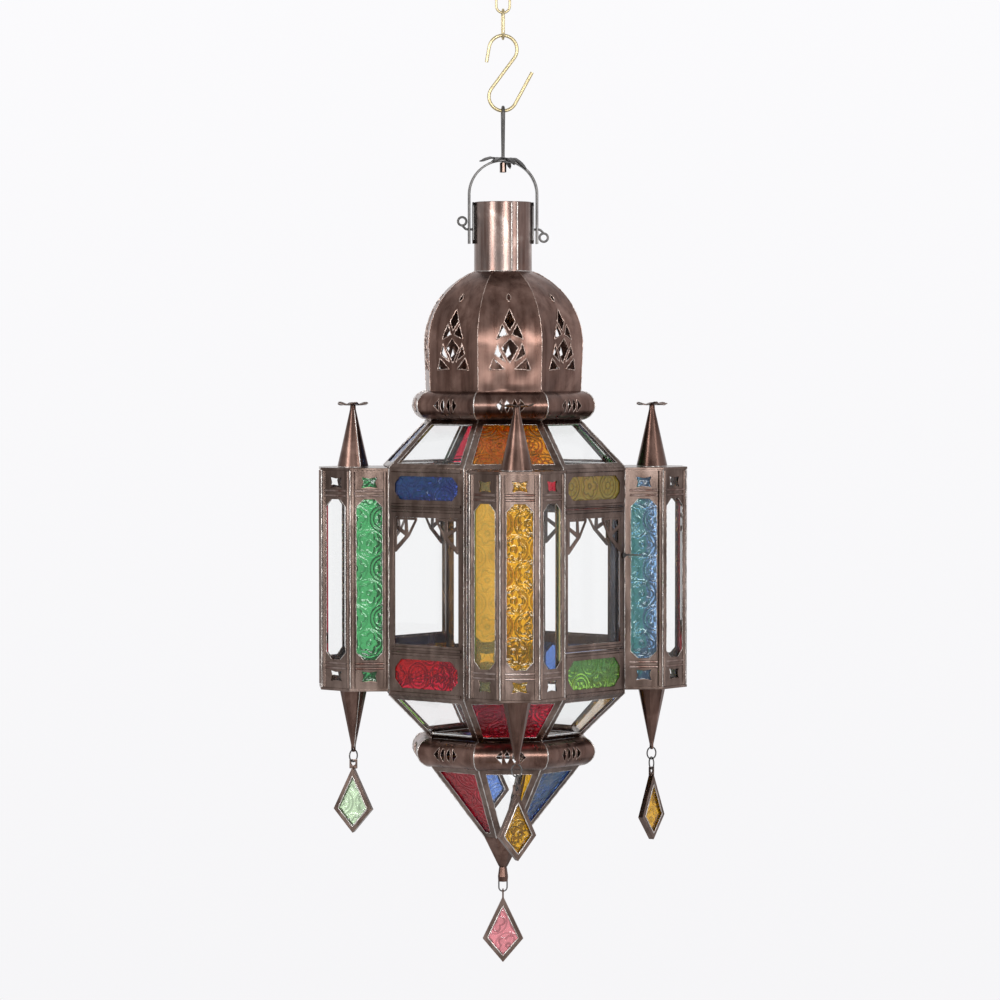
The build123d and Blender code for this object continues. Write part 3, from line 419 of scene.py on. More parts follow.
def petals(count, disc, reach, curve, twist, seed, hole, lean=0.0):
    """Sheet rosette at the origin: a dished disc with leaf petals that curl along the given heights.

    The lean lowers the petals towards +X and raises the others.
    """
    rng = np.random.default_rng(seed)
    root, along_steps, over_steps = 0.72 * disc, 9, 5
    shapes = []
    for k in range(count):
        lift = 1 + 0.35 * rng.uniform(-1, 1)
        skew = rng.uniform(-1, 1) * twist
        share = (k + 0.5) / count
        grid = []
        for u in np.linspace(0, 1, along_steps):
            r = root + (reach - root) * u
            half = disc * sin(pi / count) * (1.0 - 0.10 * u) * sqrt(max(0.0, 1 - u ** 3.2)) * 1.04
            z = np.interp(u, *curve) * lift - lean * u * r * cos(2 * pi * share)
            for v in np.linspace(-1, 1, over_steps):
                crease = -0.35 * (1 - abs(v)) * u * (1 - u) * 3
                grid.append((r, half * v, z + crease + skew * v * u * half * 0.35))
        shapes.append((turn(grid, 360 * share), quads(along_steps, over_steps)))
    angles = np.linspace(0, 2 * pi, 4 * count, endpoint=False)
    rings = [(hole, 0.15), (0.5 * disc, 0.0), (0.86 * disc, 0.02)]
    points = [(r * cos(a), r * sin(a), z) for r, z in rings for a in angles]
    shapes.append((points, quads(len(rings), len(angles), round_cols=True)))
    return join_shapes(shapes)


leaf_curl = ([0, 0.35, 0.7, 1], [0.3, 0.6, -1.4, -4.0])
spots, faces = petals(8, disc=5.6, reach=17.4, curve=leaf_curl, twist=1.6, seed=3, hole=2.5, lean=0.17)
thicken(add_mesh("bail_rosette_leaves", spots + (0, 0, bail_top + bail_half_thick), faces, "bail", "dark_steel",
                 steel, ["bail_rosette"], sharp=60), thickness=0.8)
flower_curl = ([0, 0.4, 0.75, 1], [0.1, 0.3, 0.9, 1.5])
flower_spot = (cone_from_axis, 0, spire_foot + spire_height + 0.5)
shapes = []
for seed, turret in enumerate(turrets, start=11):
    spots, faces = petals(6, disc=7.4, reach=11.5, curve=flower_curl, twist=1.0, seed=seed, hole=0.7)
    shapes.append((turn(spots + flower_spot, turret), faces))
thicken(add_mesh("spire_flower_leaves", *join_shapes(shapes), "lantern", "antique_copper", copper_dark,
                 ["spire_rosettes"], sharp=60), thickness=0.7)

# Rings and finial hoop, and where each kite hangs: turret, azimuths of its rings, azimuth of its face
drops = {
    "left": (left, [-144], -114),
    "front": (front, [-5, -95], -65),
    "right": (right, [20, -70], -40),
    "back": (back, [80], 110),
}
ring_bend, ring_squeeze, ring_wire, eye_drop = 4.2, 0.82, 1.0, 0.9
kites = {}
for name, (turret, ring_turns, face_turn) in drops.items():
    x, y, _ = turn([(cone_from_axis, 0, 0)], turret)[0]
    for level, azimuth in enumerate(ring_turns):
        body = name + "_ring" if len(ring_turns) == 1 else name + "_ring_" + ("upper", "lower")[level]
        centre = (x, y, ring_top - ring_bend - ring_pitch * level)
        ring = [link_path(azimuth - 90, centre, ring_bend, 0, ring_squeeze)]
        add_wires(body + "_wire", ring, ring_wire / 2, body, steel, [body], closed=True)
    kites[name] = (face_turn, (x, y, centre[2] - ring_bend - eye_drop))
kites["bottom"] = (-95, (0, 0, bottom_hang))
hoop_half = 2.9
hoop_end, hoop_bend_z = collar_foot + 2.0, hoop_foot + hoop_half
hoop = [(-hoop_half, hoop_end), (-hoop_half, hoop_bend_z)] + arc((0, hoop_bend_z), hoop_half, 180, 180)
hoop.append((hoop_half, hoop_end))
add_wires("finial_hoop_wire", [on_upright(front, (0, 0, 0), hoop)], ring_wire / 2, "lantern",
          steel, ["finial_hoop"])


# Glass
def pressed(x, y, seed):
    """Relief of pressed glass, 0 to 1: ringed medallions, small flowers and a stippled ground."""
    rng = np.random.default_rng(seed)
    x, y = x + rng.uniform(0, 40), y + rng.uniform(0, 40)
    pitch, row, motif_radius = 20.0, 17.2, 9.7
    r = np.full(x.shape, 1e9)
    angle, kind = np.zeros_like(x), np.zeros_like(x)
    base_row = np.floor(y / row)
    for row_step in (-1, 0, 1, 2):
        j = base_row + row_step
        shift = np.where(j % 2 == 0, 0.0, pitch / 2)
        base_col = np.floor((x - shift) / pitch)
        for col_step in (-1, 0, 1, 2):
            i = base_col + col_step
            cx, cy = i * pitch + shift, j * row
            apart = np.hypot(x - cx, y - cy)
            near = apart < r
            r = np.where(near, apart, r)
            angle = np.where(near, np.arctan2(y - cy, x - cx), angle)
            kind = np.where(near, (i + j) % 2, kind)

    def ridge(at, width=0.6):
        return np.exp(-((r - at) / width) ** 2)

    ringed = ridge(8.8) + ridge(6.4) * 0.8 + ridge(2.4) * 0.9
    ringed += np.where((r > 3.0) & (r < 5.8), 0.6 * np.maximum(0, np.cos(8 * angle)), 0)
    edge = 5.0 + 2.6 * np.abs(np.cos(2.5 * angle))
    flower = ridge(edge, 0.65) + ridge(1.6) * 0.9 + np.where(r < edge, 0.3, 0)
    flower += ridge(9.0) * 0.8
    vein = np.where((r > 2.6) & (r < edge - 0.8), 0.35 * np.maximum(0, np.cos(5 * angle) - 0.6), 0)
    stipple = np.maximum(0, np.sin(x * 2.6) * np.sin(y * 2.6)) * 0.4
    relief = np.where(kind > 0.5, ringed, flower + vein)
    return np.clip(np.where(r > motif_radius, stipple, relief), 0, 1)


def trapezoid(foot_width, head_width, length, inset):
    """Corners of a face drawn in by the inset on every side.

    Gives its low half-width, high half-width, low end and high end.
    """
    lean = (head_width - foot_width) / 2 / length
    drawn = inset * sqrt(1 + lean ** 2)
    return foot_width / 2 + lean * inset - drawn, head_width / 2 - lean * inset - drawn, inset, length - inset


def face_frame(foot, head, inset):
    """Unit vector up an octagon's face between two (radius, height) ends, and the face's drawn-in corners."""
    length = hypot(head[0] - foot[0], head[1] - foot[1])
    rise = np.array([head[0] - foot[0], 0, head[1] - foot[1]]) / length
    return rise, trapezoid(2 * foot[0] * half_tan, 2 * head[0] * half_tan, length, inset)


def pane_shape(foot, head, seed=None, step=0.6, depth=0.45):
    """Pane of a face that looks along +X, from (radius, height) at its foot to its head.

    It is pressed if it has a seed. Gives its points, its faces and how far the relief stands up at each point.
    """
    rise, (low, high, start, stop) = face_frame(foot, head, rebate + pane_gap)
    cols = max(2, int(2 * max(low, high) / step)) if seed is not None else 2
    rows = max(2, int((stop - start) / step)) if seed is not None else 2
    v, u = np.meshgrid(np.linspace(0, 1, rows), np.linspace(-1, 1, cols), indexing="ij")
    across = u * (low + (high - low) * v)
    along = start + (stop - start) * v
    raised = np.zeros_like(u) if seed is None else pressed(across, along, seed)
    relief = raised if seed is None else (raised - 1) * depth
    normal = np.array([rise[2], 0, -rise[0]])
    base = np.array([foot[0], 0, foot[1]]) - normal * (front_sheet + seat_gap)
    face = base + along[..., None] * rise + across[..., None] * np.array([0, 1, 0])
    outer = (face + relief[..., None] * normal).reshape(-1, 3)
    rim = grid_rim(rows, cols)
    inner = face.reshape(-1, 3)[rim] - normal * pane_thickness
    top, count = len(outer), len(rim)
    faces = quads(rows, cols, flip=True)
    faces += [[rim[(i + 1) % count], rim[i], top + i, top + (i + 1) % count] for i in range(count)]
    faces.append([top + i for i in reversed(range(count))])
    return np.vstack([outer, inner]), faces, np.concatenate([raised.ravel(), np.zeros(count)])


def add_glass(name, panes, body, slot, tint, stands_for=()):
    """Glass piece out of panes, with the height of its relief kept for the material."""
    shape = join_shapes([pane[:2] for pane in panes])
    piece = add_mesh(name, *shape, body, slot, glasses[tint], stands_for, sharp=60)
    marks = piece.data.attributes.new("relief", "FLOAT", "POINT")
    marks.data.foreach_set("value", np.concatenate([pane[2] for pane in panes]))


eave, throat = (wall_apothem, wall_top), (throat_apothem, roof_top)
skirt, waist = (wall_apothem, wall_foot), (throat_apothem, slope_foot)
shoulder, ankle = (throat_apothem, pyramid_top), (foot_apothem, cap_top)
storeys = {
    "roof": (eave, throat),
    "frieze": ((wall_apothem, frieze_foot), (wall_apothem, wall_top)),
    "dado": ((wall_apothem, wall_foot), (wall_apothem, dado_top)),
    "slope": (waist, skirt),
    "pyramid": (ankle, shoulder),
}
storey_glass = {
    "clear": {"roof": window_angles, "slope": window_angles, "pyramid": [front, back]},
    "amber": {"roof": [front], "frieze": [-45], "dado": [135], "slope": [right], "pyramid": [45]},
    "red": {"roof": [back], "frieze": [45], "dado": [-135], "slope": [front], "pyramid": [-135, 135]},
    "blue": {"roof": [left], "frieze": [-135], "dado": [45], "slope": [back], "pyramid": [-45]},
    "green": {"roof": [right], "frieze": [135], "dado": [-45], "slope": [left], "pyramid": [right, left]},
}
strip_glass = {
    "clear": [(front, 45), (left, -90), (left, -45), (left, 45), (right, -45), (right, 45), (back, -45),
              (back, 45)],
    "amber": [(front, -45), (front, 0), (back, 0), (left, 0)],
    "red": [(right, 0), (back, -90)],
    "blue": [(front, -90), (right, -90)],
    "green": [(front, 90), (left, 90), (right, 90), (back, 90)],
}
# Panes whose shade differs from the rest of their colour
tints = {(front, -45): "yellow", (right, -90): "sky", ("frieze", -135): "cobalt", ("dado", -45): "leaf",
         ("roof", front): "honey", ("frieze", -45): "umber"}
strip_ends = ((turret_apothem, turret_foot), (turret_apothem, turret_top))
seed = 100
for colour, places in storey_glass.items():
    groups = {}
    on_storeys = [(storey, angle) for storey, angles in places.items() for angle in angles]
    for place in on_storeys + strip_glass[colour]:
        seed += 1
        tint = tints.get(place, colour)
        smooth = tint in ("clear", "yellow")
        spots, faces, marks = pane_shape(*storeys.get(place[0], strip_ends), None if smooth else seed)
        spots = turn(spots, place[1]) if place[0] in storeys else strip_turn(spots, *place)
        groups.setdefault(tint, []).append((spots, faces, marks))
    for tint, panes in groups.items():
        add_glass(tint + "_glazing", panes, "lantern", colour + "_glass", tint,
                  [colour + "_panes"] if tint == colour else ())

spots, faces, marks = pane_shape((wall_apothem, dado_top), (wall_apothem, frieze_foot))
add_glass("window_glazing", [(turn(spots, angle), faces, marks) for angle in fixed_windows], "lantern",
          "clear_glass", "clear", ["window_panes"])
spots, faces, marks = pane_shape((wall_apothem, door_foot), (wall_apothem, door_head))
add_glass("door_glazing", [(turn(spots, door_angle), faces, marks)], "door", "clear_glass", "clear",
          ["door_pane"])

# Kite drops
kite_top, kite_height, kite_half, kite_corner = -2.4, 46.5, 14.25, 0.64
kite_rebate = 1.6


def kite_outline(inset):
    """Corners of the kite below its eye, drawn in by the inset: peak, left, foot, right."""
    side_y, low_y = kite_top - kite_corner * kite_height, kite_top - kite_height
    upper_edge, lower_edge = hypot(kite_half, kite_top - side_y), hypot(kite_half, side_y - low_y)
    peak, foot = kite_top - inset * upper_edge / kite_half, low_y + inset * lower_edge / kite_half
    upper_lean, lower_lean = kite_half / (kite_top - side_y), kite_half / (side_y - low_y)
    corner_y = (peak * upper_lean + foot * lower_lean) / (upper_lean + lower_lean)
    corner_x = (peak - corner_y) * upper_lean
    return [(0, peak), (-corner_x, corner_y), (0, foot), (corner_x, corner_y)]


def kite_pane(facing, hang, seed, low_rows=19, high_rows=41, cols=34, depth=0.5):
    """Pressed pane of a drop, with relief on both faces."""
    (_, peak), _, (_, foot), (corner_x, corner_y) = kite_outline(kite_rebate + pane_gap)
    heights = np.concatenate([np.linspace(foot, corner_y, low_rows + 1)[:-1],
                              np.linspace(corner_y, peak, high_rows)])
    widths = corner_x * np.where(heights < corner_y, (heights - foot) / (corner_y - foot),
                                 (peak - heights) / (peak - corner_y))
    widths = np.maximum(widths, 0.05)
    rows = len(heights)
    across = np.linspace(-1, 1, cols)[None, :] * widths[:, None]
    up = np.repeat(heights[:, None], cols, 1)
    c, s = cos(radians(facing)), sin(radians(facing))
    flat = np.stack([hang[0] - s * across, hang[1] + c * across, hang[2] + up], -1)
    raised = pressed(across, up, seed)
    proud = ((raised - 1) * depth + pane_thickness / 2)[..., None] * np.array([c, s, 0])
    behind = rows * cols
    faces = []
    for quad in quads(rows, cols, flip=True):
        faces += [quad, [i + behind for i in reversed(quad)]]
    rim = grid_rim(rows, cols)
    faces += [[b, a, a + behind, b + behind] for a, b in zip(rim, rim[1:] + rim[:1])]
    points = np.vstack([(flat + proud).reshape(-1, 3), (flat - proud).reshape(-1, 3)])
    return points, faces, np.tile(raised.ravel(), 2)


drop_glass = {
    "left": ("pale_green_glass", "pale_green", 40),
    "front": ("amber_glass", "amber", 41),
    "right": ("amber_glass", "amber", 42),
    "back": ("blue_glass", "blue", 43),
    "bottom": ("red_glass", "pink", 46),
}
for name, (slot_name, tint, seed) in drop_glass.items():
    body = name + "_drop"
    add_glass(body + "_glass", [kite_pane(*kites[name], seed)], body, slot_name, tint, [body + "_pane"])


# Pierced sheet metal: dome gores and moulded rings
def in_polygon(spots, polygon):
    """Which flat points lie inside a polygon."""
    inside = np.zeros(len(spots), bool)
    x, y = spots[:, 0], spots[:, 1]
    for (x0, y0), (x1, y1) in zip(polygon, polygon[1:] + polygon[:1]):
        if y0 != y1:
            inside ^= ((y0 > y) != (y1 > y)) & (x < (x1 - x0) * (y - y0) / (y1 - y0) + x0)
    return inside


def edge_distance(spots, polygon):
    """Distance of flat points from a polygon's edges."""
    best = np.full(len(spots), 1e9)
    for a, b in zip(polygon, polygon[1:] + polygon[:1]):
        a, b = np.asarray(a, float), np.asarray(b, float)
        way = b - a
        share = np.clip(((spots - a) @ way) / max(way @ way, 1e-12), 0, 1)
        best = np.minimum(best, np.linalg.norm(spots - (a + share[:, None] * way), axis=1))
    return best


def pierced_sheet(outline, holes, place, step_x, step_y):
    """Curved sheet with holes, from its unrolled outline; place gives the outer points and their normals."""
    loops = [outline] + holes
    flat = np.asarray(outline, float)
    (x0, y0), (x1, y1) = flat.min(0), flat.max(0)
    gx, gy = np.meshgrid(np.arange(x0 + step_x / 2, x1, step_x), np.arange(y0 + step_y / 2, y1, step_y))
    grid = np.column_stack([gx.ravel(), gy.ravel()])
    keep = in_polygon(grid, outline)
    for loop in loops:
        keep &= edge_distance(grid, loop) > 0.35 * min(step_x, step_y)
    for hole in holes:
        keep &= ~in_polygon(grid, hole)
    points, edges = [], []
    for loop in loops:
        base = len(points)
        points += [tuple(p) for p in loop]
        edges += [(base + i, base + (i + 1) % len(loop)) for i in range(len(loop))]
    points += [tuple(p) for p in grid[keep]]
    spots, _, triangles, *_ = delaunay_2d_cdt([Vector(p) for p in points], edges, [], 0, 1e-5)
    spots = np.array([tuple(p) for p in spots])
    triangles = [list(t) for t in triangles]
    centres = np.array([spots[t].mean(0) for t in triangles])
    good = in_polygon(centres, outline)
    for hole in holes:
        good &= ~in_polygon(centres, hole)
    outer, normals = place(spots)
    count = len(spots)
    faces, sides = [], {}
    for a, b, c in [t for t, fine in zip(triangles, good) if fine]:
        (ax, ay), (bx, by), (cx, cy) = spots[a], spots[b], spots[c]
        if (bx - ax) * (cy - ay) - (by - ay) * (cx - ax) < 0:
            b, c = c, b
        faces += [[a, b, c], [a + count, c + count, b + count]]
        sides.update(dict.fromkeys([(a, b), (b, c), (c, a)]))
    faces += [[q, p, p + count, q + count] for p, q in sides if (q, p) not in sides]
    return np.vstack([outer, outer - normals * sheet]), faces


def denser(loop, step=0.8):
    """A closed loop with points added along its edges."""
    made = []
    for (x0, y0), (x1, y1) in zip(loop, loop[1:] + loop[:1]):
        parts = max(1, int(hypot(x1 - x0, y1 - y0) / step))
        made += [(x0 + (x1 - x0) * i / parts, y0 + (y1 - y0) * i / parts) for i in range(parts)]
    return made


def lens(x0, x1, middle, half, steps=7):
    """Closed lens from two arcs between its two tips, lying between x0 and x1 about the middle height."""
    mid = (x0 + x1) / 2
    rise = [-1 + 2 * i / steps for i in range(steps + 1)]
    one = [(mid + (x1 - mid) * (1 - t * t), middle + half * t) for t in rise]
    return one + [(mid + (x0 - mid) * (1 - t * t), middle + half * t) for t in reversed(rise[1:-1])]


def face_outline(radii, runs, joint_gap=0.1):
    """Unrolled outline of a face that fills its eighth at each radius, less a gap at the joints."""
    sides = [(x * half_tan - joint_gap, r) for x, r in zip(radii, runs)]
    return [(-w, r) for w, r in reversed(sides)] + sides


rng = np.random.default_rng(7)


def torn_edge(hole, place, angle, spread, lift, thin):
    """Burr around a hole: wandering points that stand a little proud, and their thicknesses."""
    outer, normals = place(np.asarray(hole, float) + rng.normal(0, spread, (len(hole), 2)))
    run = turn(outer + normals * rng.uniform(-0.05, lift, (len(hole), 1)), angle)
    return run, rng.uniform(thin, 1.3, len(hole))


def bead(path, spread=0.08, low=0.7, high=1.3):
    """Solder bead along a path: slightly wandering points and uneven thickness."""
    spots = np.asarray(path, float) + rng.normal(0, spread, (len(path), 3))
    return spots, rng.uniform(low, high, len(path))


dome_radius, dome_back, dome_rise = 54.9, 1.3, 50.6
dome_mid = dome_top - dome_rise
skirt_x, skirt_rise = 52.35, dome_mid - dome_foot
dome_run = skirt_rise + dome_radius * asin(dome_rise / dome_radius)


def dome_at(run):
    """Radius, height and upward turn of the dome's outer surface at a distance up its profile."""
    up = np.maximum(0, run - skirt_rise) / dome_radius
    low = np.minimum(run, skirt_rise) / skirt_rise
    x = np.where(run < skirt_rise, skirt_x + (dome_radius - dome_back - skirt_x) * low,
                 dome_radius * np.cos(up) - dome_back)
    z = np.where(run < skirt_rise, dome_foot + run, dome_mid + dome_radius * np.sin(up))
    return x, z, up


def dome_place(spots):
    """Outer points and normals of a gore, slightly pillowed and uneven from the bench."""
    across, run = spots[:, 0], spots[:, 1]
    x, z, up = dome_at(run)
    normals = np.column_stack([np.cos(up), np.zeros_like(up), np.sin(up)])
    share = np.clip(1 - (across / (x * half_tan)) ** 2, 0, 1) * np.clip(run * (dome_run - run) / 400, 0, 1)
    worked = 0.45 + 0.22 * np.sin(0.34 * across + 1.3) * np.sin(0.22 * run + 0.4)
    worked += 0.16 * np.sin(0.2 * across - 0.3 * run)
    return np.column_stack([x, across, z]) + normals * (share * worked)[:, None], normals


def dome_flat(points):
    """Unrolled place of points given as (across, height) on the dome."""
    made = []
    for y, z in points:
        run = z - dome_foot if z < dome_mid else skirt_rise + dome_radius * asin((z - dome_mid) / dome_radius)
        made.append((y, run))
    return made


lattice_foot, lattice_height, lattice_half = dome_foot + 14.6, 42.0, 14.4
slit_z, slit_height, slit_half = dome_foot + 61.0, 6.0, 1.5
lattice_shares = [
    [(0, 1), (-0.27, 0.80), (0, 0.64), (0.27, 0.80)],
    [(-0.36, 0.76), (-0.66, 0.50), (-0.09, 0.58)],
    [(0.36, 0.76), (0.09, 0.58), (0.66, 0.50)],
    [(0, 0.52), (-0.42, 0.36), (0, 0.11), (0.42, 0.36)],
    [(-0.58, 0.45), (-0.76, 0.26), (-0.20, 0.13), (-0.52, 0.35)],
    [(0.58, 0.45), (0.52, 0.35), (0.20, 0.13), (0.76, 0.26)],
    [(-0.80, 0.20), (-1, 0), (-0.24, 0.02)],
    [(0.80, 0.20), (0.24, 0.02), (1, 0)],
]
dome_holes = [denser([(lattice_half * x, lattice_foot + lattice_height * y) for x, y in shares])
              for shares in lattice_shares]
dome_holes.append(lens(-slit_half, slit_half, slit_z + slit_height / 2, slit_height / 2))
dome_holes = [dome_flat(hole) for hole in dome_holes]
rows = np.linspace(0, dome_run, 60)
gore = pierced_sheet(face_outline(dome_at(rows)[0], rows), dome_holes, dome_place, step_x=2.2, step_y=1.6)
add_mesh("dome_gore_sheets", *all_round(gore), "lantern", "antique_copper", copper, ["dome_gores"], sharp=30)
edges = [torn_edge(hole, dome_place, angle, spread=0.10, lift=0.30, thin=0.5)
         for angle in face_angles for hole in dome_holes]
add_beads("dome_burrs", edges, radius=0.46, finish=burr, closed=True)
seam_x, seam_z, _ = dome_at(np.linspace(1.0, dome_run - 0.5, 70))
seam = np.column_stack([seam_x, seam_x * half_tan, seam_z])
add_beads("dome_seams", [bead(turn(seam, angle)) for angle in face_angles], radius=0.26, finish=burr)

# Moulded rings
ring_core, ring_radius, ring_flange = 52.0, 9.8, 3.0
half_run = pi * ring_radius / 2
pierce_half, pierce_height = 10.6, 9.4
pierce_step, pierce_lens = 0.16 * pierce_half, 0.42 * pierce_half


def ring_place_at(mid_z):
    def place(spots):
        """Outer points and normals of a ring's half-round segment and its flat flanges."""
        run = spots[:, 1]
        up = np.clip(run / ring_radius, -pi / 2, pi / 2)
        past = np.maximum(0, np.abs(run) - half_run)
        x = ring_core + ring_radius * np.cos(up) - past
        return (np.column_stack([x, spots[:, 0], mid_z + ring_radius * np.sin(up)]),
                np.column_stack([np.cos(up), np.zeros_like(up), np.sin(up)]))
    return place


ring_holes = []
for side in (-1, 1):
    near = side * (pierce_lens + pierce_step)
    triangle = [(side * pierce_half, 0), (near, pierce_height / 2), (near, -pierce_height / 2)]
    ring_holes.append(denser(triangle, 0.7))
    ring_holes.append(lens(side * pierce_step / 2, side * pierce_lens, 0, pierce_height / 2))
ring_holes = [[(y, ring_radius * asin(z / ring_radius)) for y, z in hole] for hole in ring_holes]
rows = np.linspace(-half_run - ring_flange, half_run + ring_flange, 41)
ring_x = ring_place_at(0)(np.column_stack([np.zeros_like(rows), rows]))[0][:, 0]
around = np.linspace(-half_run - 1, half_run + 1, 26)
edges, mitres = [], []
for name, mid_z in (("upper_ring", dome_foot - ring_radius), ("lower_ring", slope_foot - ring_radius)):
    place = ring_place_at(mid_z)
    segment = pierced_sheet(face_outline(ring_x, rows), ring_holes, place, step_x=2.4, step_y=1.1)
    add_mesh(name + "_sheets", *all_round(segment), "lantern", "antique_copper", copper, [name], sharp=30)
    mitre = place(np.column_stack([np.zeros_like(around), around]))[0]
    mitre[:, 1] = mitre[:, 0] * half_tan
    for angle in face_angles:
        edges += [torn_edge(hole, place, angle, spread=0.06, lift=0.25, thin=0.7) for hole in ring_holes]
        mitres.append(bead(turn(mitre, angle)))
add_beads("ring_burrs", edges, radius=0.16, finish=burr, closed=True)
add_beads("ring_mitres", mitres, radius=0.40, finish=solder)

# Neck with its lapped seam
neck_radius, neck_sheet, rim_ease = 20.2, 1.0, 0.3
neck_bore = neck_radius - neck_sheet
neck_wall = [(neck_radius, dome_top), (neck_radius, neck_top - rim_ease), (neck_radius - rim_ease, neck_top),
             (neck_bore + rim_ease, neck_top), (neck_bore, neck_top - rim_ease), (neck_bore, dome_top)]
lap_steps, lap_from, lap_sweep, lap_radius, lap_root = 12, -78, 12, neck_radius + 0.5, neck_radius + 0.02
lap = [(lap_root, dome_top), (lap_radius, dome_top), (lap_radius, neck_top - 0.2), (lap_root, neck_top)]
lap_angles = [radians(lap_from + lap_sweep * i / lap_steps) for i in range(lap_steps + 1)]
lap_points = [(r * cos(a), r * sin(a), z) for a in lap_angles for r, z in lap]
lap_faces = quads(len(lap_angles), len(lap), round_cols=True)
lap_faces += [[0, 1, 2, 3], [len(lap_points) - 4 + j for j in (3, 2, 1, 0)]]
add_mesh("neck_tube_rolled", *join_shapes([lathe(neck_wall, 72), (lap_points, lap_faces)]), "lantern",
         "antique_copper", tinned, ["neck_tube"], sharp=40)
lap_heights = np.linspace(dome_top + 1, neck_top - 1, 40)
lap_edges = [[(lap_radius * cos(a), lap_radius * sin(a), z) for z in lap_heights]
             for a in (lap_angles[0], lap_angles[-1])]
foot_ring = [((neck_radius + 0.1) * cos(a), (neck_radius + 0.1) * sin(a), dome_top + 0.1)
             for a in np.linspace(0, 2 * pi, 90)]
add_beads("neck_solder", [bead(path) for path in [*lap_edges, foot_ring]], radius=0.40, finish=solder)

# Spires, and the seams of spires and pendants
spire = [(11.0, 0), (2.1, 40.0), (1.9, spire_height), (0.02, spire_height), (0.02, 37.0), (9.8, 0)]
pendant = [(10.0, 0), (1.5, -41.0)]
spire_parts, seam_azimuth = 10, radians(115)
first, second = spire[:2]
spots, faces = lathe(straight(first, second, spire_parts)[:-1] + spire[1:], 40)
shapes = [(turn(np.asarray(spots) + (cone_from_axis, 0, spire_foot), turret), faces) for turret in turrets]
# The spires take the darker copy of the copper, which is painted shade
add_mesh("turret_spires_rolled", *join_shapes(shapes), "lantern", "antique_copper", painted_shade_copper,
         ["turret_spires"], sharp=40)
cone_seams = []
for profile, level in ((spire, spire_foot), (pendant, pendant_top)):
    (r0, z0), (r1, z1) = profile[:2]
    path = [(cone_from_axis + r * cos(seam_azimuth), r * sin(seam_azimuth), level + z)
            for r, z in zip(np.linspace(r0, r1, 30), np.linspace(z0, z1, 30))]
    rim = [(cone_from_axis + r0 * cos(a), r0 * sin(a), level) for a in np.linspace(0, 2 * pi, 50)]
    for turret in turrets:
        cone_seams += [bead(turn(path, turret), 0.05), bead(turn(rim, turret), 0.06)]
add_beads("cone_solder", cone_seams, radius=0.36, finish=solder)


# Solder along the hips, the corners and the frames' inner edges, with its size, and half-round cames and bars
def hip(foot, head, parts=40):
    """Line where two neighbouring faces meet, from (radius, height) at its foot to its head."""
    return straight((foot[0], foot[0] * half_tan, foot[1]), (head[0], head[0] * half_tan, head[1]), parts)


def strip_line(across, low, high, parts=60, sunk=0.0):
    """Upright line on a turret face, at a distance across it and between two heights."""
    return straight((turret_apothem - sunk, across, low), (turret_apothem - sunk, across, high), parts)


seams, cames, bars = [], [], []
corner_x = wall_apothem - 0.3
for angle in face_angles:
    for foot, head in ((eave, throat), (waist, skirt), (ankle, shoulder)):
        seams.append((turn(hip(foot, head), angle), 1.0))
    seams.append((turn(hip((corner_x, wall_foot), (corner_x, wall_top), 60), angle), 0.8))
corner_y = turret_apothem * half_tan
came_across, came_end, came_sunk = 11.1, 0.6, 0.5
bar_half, bar_rises, bar_sunk = 9.8, (14.0, 17.4), 0.35
bare_sides = [(front, 90, 1), (right, -90, -1)]  # beside the door
for turret in turrets:
    for strip in strip_angles:
        for across in (-corner_y, corner_y) if strip == strip_angles[-1] else (-corner_y,):
            seams.append((strip_turn(strip_line(across, turret_foot, turret_top), turret, strip), 1.0))
        for side in (-1, 1):
            if (turret, strip, side) not in bare_sides:
                low, high = turret_foot + came_end, turret_top - came_end
                line = strip_line(side * came_across, low, high, 14, came_sunk)
                cames.append(strip_turn(line, turret, strip))
        for end, way in ((turret_foot, 1), (turret_top, -1)):
            for z in (end + way * rise for rise in bar_rises):
                x = turret_apothem - bar_sunk
                bars.append(strip_turn(straight((x, -bar_half, z), (x, bar_half, z), 8), turret, strip))
opening_inset = 4.2
for storey in ("roof", "slope", "pyramid"):
    foot, head = storeys[storey]
    rise, (low, high, start, stop) = face_frame(foot, head, opening_inset)
    corners = [np.array([foot[0], 0, foot[1]]) + rise * v + np.array([0, u, 0])
               for u, v in ((-low, start), (low, start), (high, stop), (-high, stop), (-low, start))]
    for first, second in zip(corners, corners[1:]):
        seams += [(turn(straight(first, second, 24), angle), 0.5) for angle in face_angles]
slot_half, slot_cut, slot_end = strip_width / 2 - opening_inset, 5.0, 20.0
slot_low, slot_high = turret_foot + slot_end, turret_top - slot_end
for turret in turrets:
    for strip in strip_angles:
        for side in (-1, 1):
            path = [(turret_apothem, side * (slot_half - slot_cut), slot_low)]
            path += strip_line(side * slot_half, slot_low + slot_cut, slot_high - slot_cut)
            path += [(turret_apothem, side * (slot_half - slot_cut), slot_high)]
            seams.append((strip_turn(path, turret, strip), 0.5))
add_beads("came_solder", [bead(path, 0.06, 0.6 * size, 1.25 * size) for path, size in seams], radius=0.42,
          finish=solder)
add_wires("turret_cames", cames, 1.5, "lantern", copper_dark)

wall_bar_radius, wall_bar_inset, bar_offset = 1.3, 2.6, 1.8


def wall_bar(z, angle):
    """Level half-round bar across a diagonal wall."""
    x, half = wall_apothem - 0.5, wall_apothem * half_tan - wall_bar_inset
    return turn(straight((x, -half, z), (x, half, z), 8), angle)


